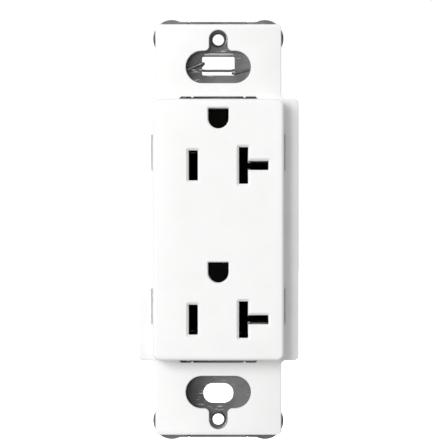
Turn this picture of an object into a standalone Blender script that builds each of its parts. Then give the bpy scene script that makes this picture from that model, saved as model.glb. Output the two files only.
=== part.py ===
"""Duplex wall outlet, 20 ampere, decorator style: a Blender 4.5 model of every separate piece.

The outlet stands upright as it does in a wall. +Z is up, -Y is towards the room, and the origin is
the middle of the mounting plane, which is the back of the steel strap. Each piece is one object.
"""

import math

import bmesh
import bpy
from mathutils import Matrix, Vector

MM = 0.001

# --- Standard spacings -------------------------------------------------------------------------
PLATE_SCREW_SPACING = 96.84 * MM
BOX_SCREW_SPACING = 83.34 * MM
OUTLET_PITCH = 38.9 * MM
BLADE_SPACING = 12.7 * MM
GROUND_ABOVE_BLADES = 11.9 * MM
UPPER_BLADE_Z = 16.2 * MM
BLADE_ROWS = (UPPER_BLADE_Z, UPPER_BLADE_Z - OUTLET_PITCH)
GROUND_ROWS = tuple(z + GROUND_ABOVE_BLADES for z in BLADE_ROWS)

# --- Depths, from the room (-Y) to the wall (+Y) -----------------------------------------------
GAP = 0.3 * MM
STRAP_THICKNESS = 1.3 * MM
STRAP_FRONT = -STRAP_THICKNESS
FLANGE_THICKNESS = 1.4 * MM
FLANGE_BACK = STRAP_FRONT - GAP
FLANGE_FRONT = FLANGE_BACK - FLANGE_THICKNESS
FACE_FRONT = -9.0 * MM
FACE_WALL = 2.5 * MM
SKIRT_BACK = 3.0 * MM
BODY_FRONT = 0.4 * MM
BODY_BACK = 24.0 * MM

# --- Front cover -------------------------------------------------------------------------------
SHOULDER = (20.4 * MM, 33.25 * MM)
SHOULDER_CORNER = 1.2 * MM
FLANGE_HALF_WIDTH = 16.0 * MM
FLANGE_END = 52.2 * MM
FLANGE_CORNER = 1.0 * MM
FACE = (16.55 * MM, 33.0 * MM)
FACE_CORNER = 1.7 * MM
FACE_EDGE = 0.8 * MM
FACE_SIDE_WALL = 2.0 * MM
SKIRT_WALL = 1.1 * MM
KEYHOLE_Z = 41.35 * MM
KEYHOLE_HALF_LENGTH = 8.3 * MM
KEYHOLE_RADIUS = 4.13 * MM
KEYHOLE_LOBE_RADIUS = 2.35 * MM
KEYHOLE_FILLET = 1.2 * MM
END_WINDOW = (10.1 * MM, 33.85 * MM)
SIDE_WINDOW_X = 17.05 * MM
SIDE_WINDOW_Z = (15.0 * MM, 24.1 * MM)
SLOT_WIDTH = 2.2 * MM
HOT_SLOT_LENGTH = 7.6 * MM
NEUTRAL_SLOT_LENGTH = 9.26 * MM
NEUTRAL_LEG_END = 6.3 * MM
GROUND_HOLE_RADIUS = 2.6 * MM
LATCH_X = (17.0 * MM, 18.2 * MM)
LATCH_END = 9.0 * MM
LATCH_HOOK = 0.6 * MM
LATCH_HOOK_LENGTH = 1.6 * MM

# --- Mounting strap ----------------------------------------------------------------------------
STRAP_END = 52.9 * MM
STRAP_HALF_WIDTH = 14.2 * MM
STRAP_SIDE_TOP = 43.4 * MM
EAR_CENTRE = (11.85 * MM, 48.65 * MM)
EAR_RADIUS = 4.75 * MM
EAR_HOLE_RADIUS = 1.9 * MM
SPINE_HALF_WIDTH = 3.0 * MM
SPINE_FILLET = 1.0 * MM
UPPER_PLATE_BOTTOM = 23.5 * MM
LOWER_PLATE_TOP = -30.0 * MM
GROUND_RING_RADIUS = 5.2 * MM
STRAP_GROUND_HOLE = 3.4 * MM
UPPER_SLOT = (4.15 * MM, 2.4 * MM)
LOWER_SLOT = (3.8 * MM, 2.52 * MM)
PLATE_SCREW_RADIUS = 1.5 * MM
COLLAR_RADIUS = 2.4 * MM
COLLAR_LENGTH = 1.0 * MM
TAB_Z = (34.4 * MM, 42.4 * MM)
TAB_OUTER_X = 11.0 * MM
TAB_BACK = 10.5 * MM

# --- Rear body ---------------------------------------------------------------------------------
BODY_HALF = (18.9 * MM, 31.75 * MM)
BODY_CORNER = 1.5 * MM
TOWER_FRONT = -6.2 * MM
TOWER_INNER_X = 3.5 * MM
HOT_TOWER_OUTER_X = 10.0 * MM
NEUTRAL_TOWER_OUTER_X = 14.2 * MM
TOWER_HALF_HEIGHT = 6.1 * MM
CAVITY_INNER_X = 4.4 * MM
CAVITY_HALF_HEIGHT = 4.9 * MM
CAVITY_BACK = 13.5 * MM
TERMINAL_POCKET_X = 13.5 * MM
TERMINAL_POCKET_Z = 13.3 * MM
TERMINAL_POCKET_BACK = 19.0 * MM
RIB_Z = (2.4 * MM, 3.1 * MM)
RIB_OUTER_X = 17.9 * MM
WIRE_HOLE_RADIUS = 1.6 * MM
WIRE_HOLE_X = 16.3 * MM
WIRE_HOLE_OFFSET = 3.4 * MM

# --- Terminals and contacts --------------------------------------------------------------------
SCREW_Y = 10.5 * MM
SCREW_Z = 8.3 * MM
TERMINAL_OUTER_X = 14.7 * MM
BUS_THICKNESS = 0.9 * MM
TERMINAL_PLATE_Y = (4.5 * MM, 16.5 * MM)
TERMINAL_PLATE_Z = 13.0 * MM
BREAK_GAP = 2.2 * MM
BREAK_LINK_Y = (7.5 * MM, 13.5 * MM)
SCREW_HOLE_RADIUS = 2.3 * MM
LEAF_THICKNESS = 0.8 * MM
LEAF_HALF_GAP = 0.7 * MM
JAW_HALF_LENGTH = 4.0 * MM
JAW_FRONT = -1.5 * MM
JAW_BACK = 13.0 * MM
ARM_HALF_LENGTH = 2.5 * MM
GROUND_STRIP_Y = (0.3 * MM, 1.1 * MM)
GROUND_STRIP_HALF_WIDTH = 2.8 * MM
GROUND_JAW_BACK = 11.0 * MM
GROUND_JAW_HALF_GAP = 2.1 * MM
RIVET_ROWS = (20.0 * MM, 2.0 * MM, -19.0 * MM)
RIVET_RADIUS = 1.2 * MM

# --- Screws and clamp plates -------------------------------------------------------------------
SHANK_RADIUS = 1.95 * MM
SHANK_LENGTH = 6.2 * MM
HEAD_RADIUS = 4.0 * MM
HEAD_HEIGHT = 2.1 * MM
DRIVE_SLOT = (1.1 * MM, 1.1 * MM)
CLAMP_THICKNESS = 1.2 * MM
CLAMP_HALF = 4.7 * MM
GROUND_SCREW_Y = 5.6 * MM
GROUND_SCREW_Z = 38.4 * MM
WIRE_RADIUS = 0.3 * MM

# --- Colours: name to (red, green, blue), roughness, metallic ----------------------------------
FINISHES = {
    "white_plastic": ((0.92, 0.92, 0.91), 0.32, 0.0),
    "grey_plastic": ((0.10, 0.10, 0.105), 0.5, 0.0),
    "galvanised_steel": ((0.42, 0.42, 0.43), 0.42, 1.0),
    "brass": ((0.80, 0.60, 0.26), 0.3, 1.0),
    "nickel_plate": ((0.68, 0.66, 0.62), 0.3, 1.0),
    "green_screw": ((0.05, 0.32, 0.12), 0.4, 0.6),
    "zinc_steel": ((0.55, 0.56, 0.58), 0.35, 1.0),
    "spring_bronze": ((0.62, 0.50, 0.36), 0.35, 1.0),
}

ARC_STEPS = 6
# Outlines are filled at a slight turn, so that level edges of two of them never share a line.
FILL_TILT = math.radians(17.3)


# --- Scene helpers -----------------------------------------------------------------------------


def clear_scene():
    """Removes every object, so that the model starts from nothing."""
    for obj in list(bpy.data.objects):
        bpy.data.objects.remove(obj)


def new_collection(name):
    """A collection linked to the scene."""
    collection = bpy.data.collections.new(name)
    bpy.context.scene.collection.children.link(collection)
    return collection


clear_scene()
PARTS = new_collection("duplex_wall_outlet")
CUTTERS = new_collection("cutters")
CUTTERS.hide_render = True


def finish_material(name):
    """The Principled material of one finish, made once."""
    material = bpy.data.materials.get(name)
    if material is None:
        colour, roughness, metallic = FINISHES[name]
        material = bpy.data.materials.new(name)
        material.use_nodes = True
        shader = material.node_tree.nodes["Principled BSDF"]
        shader.inputs["Base Color"].default_value = (*colour, 1.0)
        shader.inputs["Roughness"].default_value = roughness
        shader.inputs["Metallic"].default_value = metallic
    return material


def mesh_object(name, bm, collection=CUTTERS):
    """An object from a bmesh, in the given collection."""
    mesh = bpy.data.meshes.new(name)
    bm.to_mesh(mesh)
    bm.free()
    obj = bpy.data.objects.new(name, mesh)
    collection.objects.link(obj)
    if collection is CUTTERS:
        obj.hide_render = True
        obj.display_type = "WIRE"
    return obj


def dress(obj, finish):
    """Gives a part its finish and shades its round stretches smooth."""
    obj.data.materials.append(finish_material(finish))
    obj.data.shade_smooth()
    obj.data.set_sharp_from_angle(angle=math.radians(35))
    return obj


def combine(target, tool, operation):
    """Joins the tool to the target, or cuts it away, with a Boolean modifier."""
    modifier = target.modifiers.new(f"{operation.lower()}_{tool.name}", "BOOLEAN")
    modifier.operation = operation
    modifier.solver = "EXACT"
    modifier.object = tool
    return target


def join(target, *tools):
    """Target and tools as one body."""
    for tool in tools:
        combine(target, tool, "UNION")
    return target


def cut(target, *tools):
    """Target with the tools cut away."""
    for tool in tools:
        combine(target, tool, "DIFFERENCE")
    return target


# --- Shape helpers -----------------------------------------------------------------------------


def add_box(bm, x, y, z):
    """Adds a box to a bmesh, from its (low, high) range along each axis."""
    ranges = [sorted(side) for side in (x, y, z)]
    centre = Vector([(low + high) / 2 for low, high in ranges])
    size = Vector([high - low for low, high in ranges])
    matrix = Matrix.Translation(centre) @ Matrix.Diagonal((*size, 1.0))
    return bmesh.ops.create_cube(bm, size=1.0, matrix=matrix)["verts"]


def boxes(name, *ranges, collection=CUTTERS):
    """One object holding separate boxes, each given as its ranges along X, Y and Z."""
    bm = bmesh.new()
    for x, y, z in ranges:
        add_box(bm, x, y, z)
    return mesh_object(name, bm, collection)


def add_cylinder(bm, centre, radius, length, axis="Y", segments=20, top_radius=None):
    """Adds a capped cylinder or cone, centred on a point and lying along X or Y."""
    turn = Matrix.Rotation(math.radians(90), 4, "X" if axis == "Y" else "Y")
    matrix = Matrix.Translation(centre) @ turn
    far_radius = radius if top_radius is None else top_radius
    return bmesh.ops.create_cone(
        bm, cap_ends=True, segments=segments, radius1=radius, radius2=far_radius, depth=length, matrix=matrix
    )["verts"]


def arc(centre, radius, start, end, steps=ARC_STEPS):
    """Points on an arc, both ends included, with angles in degrees."""
    points = []
    for step in range(steps + 1):
        angle = math.radians(start + (end - start) * step / steps)
        points.append((centre[0] + radius * math.cos(angle), centre[1] + radius * math.sin(angle)))
    return points


def mirror_x(points):
    """The outline's other side: the same points with X reversed, in reverse order."""
    return [(-x, z) for x, z in reversed(points)]


def four_ways(quadrant):
    """A closed outline from its upper right quarter, which runs clockwise from the top."""
    right = quadrant + [(x, -z) for x, z in reversed(quadrant)]
    return right + mirror_x(right)


def rounded_rectangle(centre, half_width, half_height, radius, steps=3):
    """The outline of a rectangle with round corners."""
    cx, cz = centre
    points = []
    for sx, sz, start in ((1, 1, 90), (1, -1, 0), (-1, -1, -90), (-1, 1, 180)):
        corner = (cx + sx * (half_width - radius), cz + sz * (half_height - radius))
        points += arc(corner, radius, start, start - 90, steps)
    return points


def prism(name, outlines, low, high, axis="Y", collection=CUTTERS):
    """A plate from closed outlines, the first outside and the rest holes, between two heights.

    An outline's points are (X, Z) for a plate across Y, (Y, Z) across X and (X, Y) across Z.
    """
    curve = bpy.data.curves.new(name + "_outline", "CURVE")
    curve.dimensions = "2D"
    curve.fill_mode = "BOTH"
    curve.extrude = (high - low) / 2
    tilt = Matrix.Rotation(FILL_TILT, 3, "Z")
    for outline in outlines:
        spline = curve.splines.new("POLY")
        spline.points.add(len(outline) - 1)
        spline.use_cyclic_u = True
        for point, place in zip(spline.points, outline):
            point.co = (*(tilt @ Vector((*place, 0.0))), 1.0)
    flat = bpy.data.objects.new(name + "_outline", curve)
    bpy.context.scene.collection.objects.link(flat)
    bpy.context.view_layer.update()
    mesh = bpy.data.meshes.new_from_object(flat.evaluated_get(bpy.context.evaluated_depsgraph_get()))
    bpy.data.objects.remove(flat)
    middle = (low + high) / 2
    placing = {
        "Y": Matrix(((1, 0, 0, 0), (0, 0, -1, middle), (0, 1, 0, 0), (0, 0, 0, 1))),
        "X": Matrix(((0, 0, 1, middle), (1, 0, 0, 0), (0, 1, 0, 0), (0, 0, 0, 1))),
        "Z": Matrix.Translation((0, 0, middle)),
    }[axis]
    bm = bmesh.new()
    bm.from_mesh(mesh)
    bmesh.ops.remove_doubles(bm, verts=bm.verts, dist=1e-6)
    bm.transform(placing @ Matrix.Rotation(-FILL_TILT, 4, "Z"))
    for vert in bm.verts:
        vert.co = [round(value, 8) for value in vert.co]
    bmesh.ops.recalc_face_normals(bm, faces=bm.faces)
    if bm.calc_volume(signed=True) < 0:
        bmesh.ops.reverse_faces(bm, faces=bm.faces)
    bpy.data.meshes.remove(mesh)
    return mesh_object(name, bm, collection)


def ribbon(points, thickness):
    """The closed outline of a strip of sheet metal that follows a line of points."""
    left, right = [], []
    for index, point in enumerate(points):
        before = Vector(points[max(index - 1, 0)])
        after = Vector(points[min(index + 1, len(points) - 1)])
        here = Vector(point)
        runs = [run.normalized() for run in (here - before, after - here) if run.length > 0]
        along = sum(runs, Vector((0.0, 0.0))).normalized()
        lean = max(along.dot(runs[0]), 0.5)
        normal = Vector((-along.y, along.x)) * (thickness / 2 / lean)
        left.append(tuple(here + normal))
        right.append(tuple(here - normal))
    return left + right[::-1]


# --- Front cover -------------------------------------------------------------------------------


def cover_outline():
    """Shoulders with a flange above and below them, and a fillet where they meet."""
    half_x, half_z = SHOULDER
    radius = SHOULDER_CORNER
    flange_corner = (FLANGE_HALF_WIDTH - FLANGE_CORNER, FLANGE_END - FLANGE_CORNER)
    quadrant = arc(flange_corner, FLANGE_CORNER, 90, 0, 3)
    quadrant += arc((FLANGE_HALF_WIDTH + radius, half_z + radius), radius, 180, 270, 3)
    quadrant += arc((half_x - radius, half_z - radius), radius, 90, 0, 3)
    return four_ways(quadrant)


def keyhole_outline(side):
    """The opening over one mounting slot, with a lobe round the plate screw's hole."""
    end = (KEYHOLE_HALF_LENGTH - KEYHOLE_RADIUS, KEYHOLE_Z)
    lobe_top = arc((0, PLATE_SCREW_SPACING / 2), KEYHOLE_LOBE_RADIUS, 90, 0)
    fillet_centre = (KEYHOLE_LOBE_RADIUS + KEYHOLE_FILLET, KEYHOLE_Z + KEYHOLE_RADIUS + KEYHOLE_FILLET)
    right = lobe_top + arc(fillet_centre, KEYHOLE_FILLET, 180, 270, 3)
    right += arc(end, KEYHOLE_RADIUS, 90, -90, 2 * ARC_STEPS)
    return [(x, side * z) for x, z in right + mirror_x(right)[:-1]]


def end_window_outline(side):
    """The narrow window between the face and a flange, where the strap shows."""
    half, far = END_WINDOW
    near = FACE[1] - GAP
    chamfer = 0.6 * MM
    points = [(-half, near), (-half, far - chamfer), (-half + chamfer, far)]
    points += [(half - chamfer, far), (half, far - chamfer), (half, near)]
    return [(x, side * z) for x, z in points]


def side_window_outline(side_x, side_z):
    """The slit beside the face through which a latch arm's hook is moulded."""
    inner = FACE[0] - GAP
    low, high = SIDE_WINDOW_Z
    corners = ((inner, low), (inner, high), (SIDE_WINDOW_X, high), (SIDE_WINDOW_X, low))
    return [(side_x * x, side_z * z) for x, z in corners]


def hot_slot_outline(row):
    """The upright slot for the hot blade."""
    return rounded_rectangle((-BLADE_SPACING / 2, row), SLOT_WIDTH / 2, HOT_SLOT_LENGTH / 2, 0.1 * MM, 1)


def neutral_slot_outline(row):
    """The T-shaped slot, which takes an upright or a level neutral blade."""
    half, tall = SLOT_WIDTH / 2, NEUTRAL_SLOT_LENGTH / 2
    shape = [(-half, -tall), (-half, tall), (half, tall), (half, half)]
    shape += [(NEUTRAL_LEG_END, half), (NEUTRAL_LEG_END, -half), (half, -half), (half, -tall)]
    return [(BLADE_SPACING / 2 + x, row + z) for x, z in shape]


def ground_hole_outline(row):
    """The ground hole: square above and round below."""
    radius = GROUND_HOLE_RADIUS
    return [(-radius, row + radius), (radius, row + radius)] + arc((0, row), radius, 0, -180, 10)


def face_block():
    """The raised face with rounded corners and a softened front edge."""
    half_x, half_z = FACE
    outline = rounded_rectangle((0, 0), half_x, half_z, FACE_CORNER)
    block = prism("face_block", [outline], FACE_FRONT, FLANGE_BACK - GAP)
    bm = bmesh.new()
    bm.from_mesh(block.data)
    front = [edge for edge in bm.edges if all(vert.co.y < FACE_FRONT + 1e-6 for vert in edge.verts)]
    rim = [edge for edge in front if any(abs(face.normal.y) < 0.5 for face in edge.link_faces)]
    bmesh.ops.bevel(
        bm, geom=rim, offset=FACE_EDGE, offset_type="OFFSET", segments=2, profile=0.5,
        affect="EDGES", clamp_overlap=True, material=-1,
    )
    bm.to_mesh(block.data)
    bm.free()
    return block


def latch_arms():
    """Four snap arms behind the shoulders, each ending in a hook that faces inwards."""
    inner, outer = LATCH_X
    low, high = (z + GAP / 2 for z in SIDE_WINDOW_Z)
    hook_front = LATCH_END - LATCH_HOOK_LENGTH
    profile = [
        (inner, FLANGE_FRONT + FLANGE_THICKNESS / 2),
        (outer, FLANGE_FRONT + FLANGE_THICKNESS / 2),
        (outer, LATCH_END),
        (inner, LATCH_END),
        (inner - LATCH_HOOK, hook_front + GAP),
        (inner - LATCH_HOOK, hook_front),
        (inner, hook_front),
    ]
    arms = []
    for side_x in (-1, 1):
        for side_z in (-1, 1):
            outline = [(side_x * x, y) for x, y in profile]
            ends = sorted((side_z * low, side_z * (high - GAP)))
            arms.append(prism(f"latch_arm_{side_x}_{side_z}", [outline], ends[0], ends[1], "Z"))
    return arms


def front_cover():
    """Face, shoulders, flanges, skirt and latch arms, moulded in one piece."""
    holes = [keyhole_outline(side) for side in (1, -1)]
    holes += [end_window_outline(side) for side in (1, -1)]
    holes += [side_window_outline(sx, sz) for sx in (1, -1) for sz in (1, -1)]
    inner = [half - FACE_SIDE_WALL for half in FACE]
    opening = rounded_rectangle((0, 0), inner[0] + 0.5 * MM, inner[1] + 0.5 * MM, 0.5 * MM, 1)
    cover = prism("front_cover", [cover_outline(), opening, *holes], FLANGE_FRONT, FLANGE_BACK, collection=PARTS)

    skirt_outer = [half - 0.1 * MM for half in SHOULDER]
    skirt = prism(
        "skirt",
        [
            rounded_rectangle((0, 0), *skirt_outer, SHOULDER_CORNER),
            rounded_rectangle((0, 0), *[half - SKIRT_WALL for half in skirt_outer], 0.6 * MM, 1),
        ],
        FLANGE_FRONT + FLANGE_THICKNESS / 2,
        SKIRT_BACK,
    )
    notch_x = STRAP_HALF_WIDTH + 0.4 * MM
    deep = (-5 * MM, 5 * MM)
    notch = boxes("strap_notch", ((-notch_x, notch_x), deep, (30 * MM, 36 * MM)),
                  ((-notch_x, notch_x), deep, (-36 * MM, -30 * MM)))
    cut(skirt, notch)

    block = face_block()
    hollow_y = (FACE_FRONT + FACE_WALL, 5 * MM)
    hollow = boxes("face_hollow", ((-inner[0], inner[0]), hollow_y, (-inner[1], inner[1])))
    cut(block, hollow)
    boss = GROUND_HOLE_RADIUS + 1.4 * MM
    boss_y = (FACE_FRONT + FACE_WALL / 2, FLANGE_BACK - GAP)
    bosses = boxes("ground_bosses", *[((-boss, boss), boss_y, (row - boss, min(row + boss, inner[1] + 1 * MM)))
                                      for row in GROUND_ROWS])

    join(cover, skirt, block, bosses, *latch_arms())
    through = (FACE_FRONT - 1 * MM, 1 * MM)
    slots = [hot_slot_outline(row) for row in BLADE_ROWS]
    slots += [neutral_slot_outline(row) for row in BLADE_ROWS]
    slots += [ground_hole_outline(row) for row in GROUND_ROWS]
    cut(cover, prism("blade_slots", slots, *through))
    return dress(cover, "white_plastic")


# --- Mounting strap ----------------------------------------------------------------------------


def ear_outline():
    """From the end's straight edge round the washer-shaped break-off ear, clockwise."""
    rise = math.degrees(math.asin((STRAP_END - EAR_CENTRE[1]) / EAR_RADIUS))
    return arc(EAR_CENTRE, EAR_RADIUS, 180 - rise, -55, 2 * ARC_STEPS)


def strap_outline():
    """Both end plates and the narrow spine that joins them behind the face."""
    side = ear_outline() + [(STRAP_HALF_WIDTH, STRAP_SIDE_TOP)]
    tab_low, tab_high = TAB_Z
    upper_right = side + [(STRAP_HALF_WIDTH, tab_high), (TAB_OUTER_X, tab_high), (TAB_OUTER_X, tab_low)]
    upper_right += [(STRAP_HALF_WIDTH, tab_low)]
    root = SPINE_HALF_WIDTH + SPINE_FILLET
    to_spine = [(STRAP_HALF_WIDTH, UPPER_PLATE_BOTTOM + SPINE_FILLET)]
    to_spine += arc((root, UPPER_PLATE_BOTTOM - SPINE_FILLET), SPINE_FILLET, 90, 180, 3)
    reach = math.degrees(math.acos(SPINE_HALF_WIDTH / GROUND_RING_RADIUS))
    ring = arc((0, GROUND_ROWS[1]), GROUND_RING_RADIUS, reach, -reach, 2 * ARC_STEPS)
    from_spine = arc((root, LOWER_PLATE_TOP + SPINE_FILLET), SPINE_FILLET, 180, 270, 3)
    from_spine += [(STRAP_HALF_WIDTH, LOWER_PLATE_TOP - SPINE_FILLET)]
    lower = [(x, -z) for x, z in reversed(side)]
    right = upper_right + to_spine + ring + from_spine + lower
    left = side + to_spine + ring + from_spine + lower
    return right + mirror_x(left)


def slot_shapes():
    """The two mounting slots: the upper one square for the grounding clip, the lower one round-ended."""
    middle = BOX_SCREW_SPACING / 2
    upper = rounded_rectangle((0, middle), *UPPER_SLOT, 0.4 * MM, 2)
    lower = rounded_rectangle((0, -middle), *LOWER_SLOT, LOWER_SLOT[1] - 0.2 * MM, 5)
    return upper, lower


def mounting_strap():
    """The steel yoke with its ears, slots, threaded holes and the bent ground tab."""
    holes = [*slot_shapes()]
    for side in (1, -1):
        holes.append(arc((0, side * PLATE_SCREW_SPACING / 2), PLATE_SCREW_RADIUS, 0, 345, 15))
        holes += [arc((sx * EAR_CENTRE[0], side * EAR_CENTRE[1]), EAR_HOLE_RADIUS, 0, 345, 15) for sx in (1, -1)]
    holes += [arc((0, row), STRAP_GROUND_HOLE, 0, 345, 19) for row in GROUND_ROWS]
    holes += [arc((0, row), RIVET_RADIUS + GAP / 2, 0, 330, 11) for row in RIVET_ROWS]
    strap = prism("mounting_strap", [strap_outline(), *holes], STRAP_FRONT, 0.0, collection=PARTS)

    tab_low, tab_high = TAB_Z
    tab_inner = TAB_OUTER_X - STRAP_THICKNESS
    tab = prism(
        "ground_tab",
        [
            [(STRAP_FRONT / 2, tab_low + GAP), (TAB_BACK, tab_low + GAP),
             (TAB_BACK, tab_high - GAP), (STRAP_FRONT / 2, tab_high - GAP)],
            arc((GROUND_SCREW_Y, GROUND_SCREW_Z), SCREW_HOLE_RADIUS, 0, 345, 15),
        ],
        tab_inner,
        TAB_OUTER_X - 0.05 * MM,
        "X",
    )
    collars = []
    for side in (1, -1):
        centre = (0, side * PLATE_SCREW_SPACING / 2)
        rings = [arc(centre, radius, 0, 345, 15) for radius in (COLLAR_RADIUS, PLATE_SCREW_RADIUS + 0.05 * MM)]
        collars.append(prism(f"collar_{side}", rings, STRAP_FRONT / 2, COLLAR_LENGTH))
    join(strap, tab, *collars)
    return dress(strap, "galvanised_steel")


# --- Rear body ---------------------------------------------------------------------------------


def contact_cavities():
    """The pockets for the contacts: (ranges along X, Y, Z) of boxes that don't touch each other."""
    open_front = TOWER_FRONT - 1 * MM
    cavities = []
    for row in BLADE_ROWS:
        z = (row - CAVITY_HALF_HEIGHT, row + CAVITY_HALF_HEIGHT)
        cavities.append(((-9.1 * MM, -CAVITY_INNER_X), (open_front, CAVITY_BACK), z))
        cavities.append(((CAVITY_INNER_X, 13.4 * MM), (open_front, CAVITY_BACK), z))
    for row in GROUND_ROWS:
        cavities.append(((-4.0 * MM, 4.0 * MM), (-1 * MM, GROUND_JAW_BACK + 2 * MM), (row - 3.4 * MM, row + 3.4 * MM)))
    return cavities


def rear_body():
    """The moulded base: towers round the contacts, pockets for the terminals and holes for wires."""
    half_x, half_z = BODY_HALF
    body = prism("rear_body", [rounded_rectangle((0, 0), half_x, half_z, BODY_CORNER)],
                 BODY_FRONT, BODY_BACK, collection=PARTS)
    bm = bmesh.new()
    bm.from_mesh(body.data)
    rim = [edge for edge in bm.edges
           if all(vert.co.y > BODY_BACK - 1e-6 for vert in edge.verts)
           and any(abs(face.normal.y) < 0.5 for face in edge.link_faces)]
    bmesh.ops.bevel(bm, geom=rim, offset=1.0 * MM, offset_type="OFFSET", segments=1, profile=0.5,
                    affect="EDGES", clamp_overlap=True, material=-1)
    bm.to_mesh(body.data)
    bm.free()

    tower_y = (TOWER_FRONT, BODY_FRONT + 2 * MM)
    towers = []
    for row in BLADE_ROWS:
        z = (row - TOWER_HALF_HEIGHT, row + TOWER_HALF_HEIGHT)
        towers.append(((-HOT_TOWER_OUTER_X, -TOWER_INNER_X), tower_y, z))
        towers.append(((TOWER_INNER_X, NEUTRAL_TOWER_OUTER_X), tower_y, z))
    join(body, boxes("contact_towers", *towers))

    cut(body, boxes("contact_cavities", *contact_cavities()))
    # The bus arms pass from the contact cavities to the terminal pockets.
    arm_y = (TOWER_FRONT - 1 * MM, CAVITY_BACK - 0.05 * MM)
    pocket_x = (TERMINAL_OUTER_X + GAP, 7.0 * MM)
    reach = ARM_HALF_LENGTH + 0.6 * MM
    arm_rows = arm_centres()
    cut(body, boxes("arm_channels", *[((side * pocket_x[0], side * pocket_x[1]), arm_y, (row - reach, row + reach))
                                      for side in (-1, 1) for row in arm_rows]))
    leg_x = (TERMINAL_OUTER_X + GAP - 0.02 * MM, TERMINAL_POCKET_X)
    leg_y = (BODY_FRONT - 1 * MM, JAW_BACK + 0.4 * MM)
    leg_rows = [(TERMINAL_POCKET_Z - 1 * MM, arm_rows[0] + 1 * MM), (arm_rows[1] - 1 * MM, -TERMINAL_POCKET_Z + 1 * MM)]
    cut(body, boxes("leg_channels", *[((side * leg_x[0], side * leg_x[1]), leg_y, z)
                                      for side in (-1, 1) for z in leg_rows]))

    pocket_z = (-TERMINAL_POCKET_Z, TERMINAL_POCKET_Z)
    cut(body, boxes("terminal_pockets", *[((side * TERMINAL_POCKET_X, side * 21 * MM),
                                           (-1 * MM, TERMINAL_POCKET_BACK), pocket_z) for side in (-1, 1)]))
    rib_x = (TERMINAL_OUTER_X + GAP, RIB_OUTER_X)
    rib_y = (TERMINAL_PLATE_Y[0], TERMINAL_POCKET_BACK + 1 * MM)
    join(body, boxes("terminal_ribs", *[((sx * rib_x[0], sx * rib_x[1]), rib_y, (sz * RIB_Z[0], sz * RIB_Z[1]))
                                        for sx in (-1, 1) for sz in (-1, 1)]))

    strip_x = GROUND_STRIP_HALF_WIDTH + GAP
    cut(body, boxes("ground_strip_channel", ((-strip_x, strip_x), (-1 * MM, 2.3 * MM), (-21.6 * MM, 32.5 * MM))))

    groove_z = [(low - 0.4 * MM, high + 0.4 * MM) for low, high in (SIDE_WINDOW_Z, [-z for z in SIDE_WINDOW_Z[::-1]])]
    groove_x = (LATCH_X[0] - GAP, 20 * MM)
    hook_x = (LATCH_X[0] - LATCH_HOOK - GAP, 17.5 * MM)
    hook_y = (LATCH_END - LATCH_HOOK_LENGTH - GAP, LATCH_END + GAP)
    cut(body, boxes("latch_grooves", *[((side * groove_x[0], side * groove_x[1]), (-1 * MM, LATCH_END + 0.6 * MM), z)
                                       for side in (-1, 1) for z in groove_z]))
    cut(body, boxes("hook_notches", *[((side * hook_x[0], side * hook_x[1]), hook_y, (z[0] + 0.05 * MM, z[1] - 0.05 * MM))
                                      for side in (-1, 1) for z in groove_z]))

    bm = bmesh.new()
    for side in (-1, 1):
        for row in (-SCREW_Z, SCREW_Z):
            add_cylinder(bm, (side * 12.2 * MM, SCREW_Y, row), SHANK_RADIUS + 0.5 * MM, 5.4 * MM, "X", 16)
            for offset in (-WIRE_HOLE_OFFSET, WIRE_HOLE_OFFSET):
                add_cylinder(bm, (side * WIRE_HOLE_X, 22 * MM, row + offset), WIRE_HOLE_RADIUS, 8 * MM, "Y", 12)
    cut(body, mesh_object("round_holes", bm))
    return dress(body, "grey_plastic")


# --- Contacts ----------------------------------------------------------------------------------


def arm_centres():
    """Heights at which the hot and neutral buses turn inwards to their contacts."""
    return BLADE_ROWS[0] - 0.1 * MM, BLADE_ROWS[1] + 1.2 * MM


def terminal_plate(name, side, collection):
    """The side plate under two terminal screws, with the break-off link between its halves."""
    low_y, high_y = TERMINAL_PLATE_Y
    link_low, link_high = BREAK_LINK_Y
    tall = TERMINAL_PLATE_Z
    rows = arm_centres()
    leg_low = 10.2 * MM
    leg_top, leg_bottom = rows[0] + ARM_HALF_LENGTH, rows[1] - ARM_HALF_LENGTH
    bend, corner = 0.4 * MM, 1.0 * MM
    outline = [
        (low_y, tall - corner), (low_y + corner, tall), (leg_low, tall), (leg_low, leg_top), (JAW_BACK, leg_top),
        (JAW_BACK, tall - bend), (high_y - corner, tall - bend), (high_y, tall - bend - corner),
        (high_y, BREAK_GAP + bend), (link_high, BREAK_GAP), (link_high, -BREAK_GAP), (high_y, -BREAK_GAP - bend),
        (high_y, bend + corner - tall), (high_y - corner, bend - tall), (JAW_BACK, bend - tall),
        (JAW_BACK, leg_bottom), (leg_low, leg_bottom), (leg_low, -tall), (low_y + corner, -tall),
        (low_y, corner - tall), (low_y, -BREAK_GAP - bend), (link_low, -BREAK_GAP), (link_low, BREAK_GAP),
        (low_y, BREAK_GAP + bend),
    ]
    holes = [arc((SCREW_Y, row), SCREW_HOLE_RADIUS, 0, 345, 15) for row in (SCREW_Z, -SCREW_Z)]
    link_hole = rounded_rectangle(((link_low + link_high) / 2, 0), 1.6 * MM, 0.9 * MM, 0.4 * MM, 1)
    ends = sorted((side * TERMINAL_OUTER_X, side * (TERMINAL_OUTER_X - BUS_THICKNESS)))
    return prism(name, [outline, *holes, link_hole], *ends, "X", collection)


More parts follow.
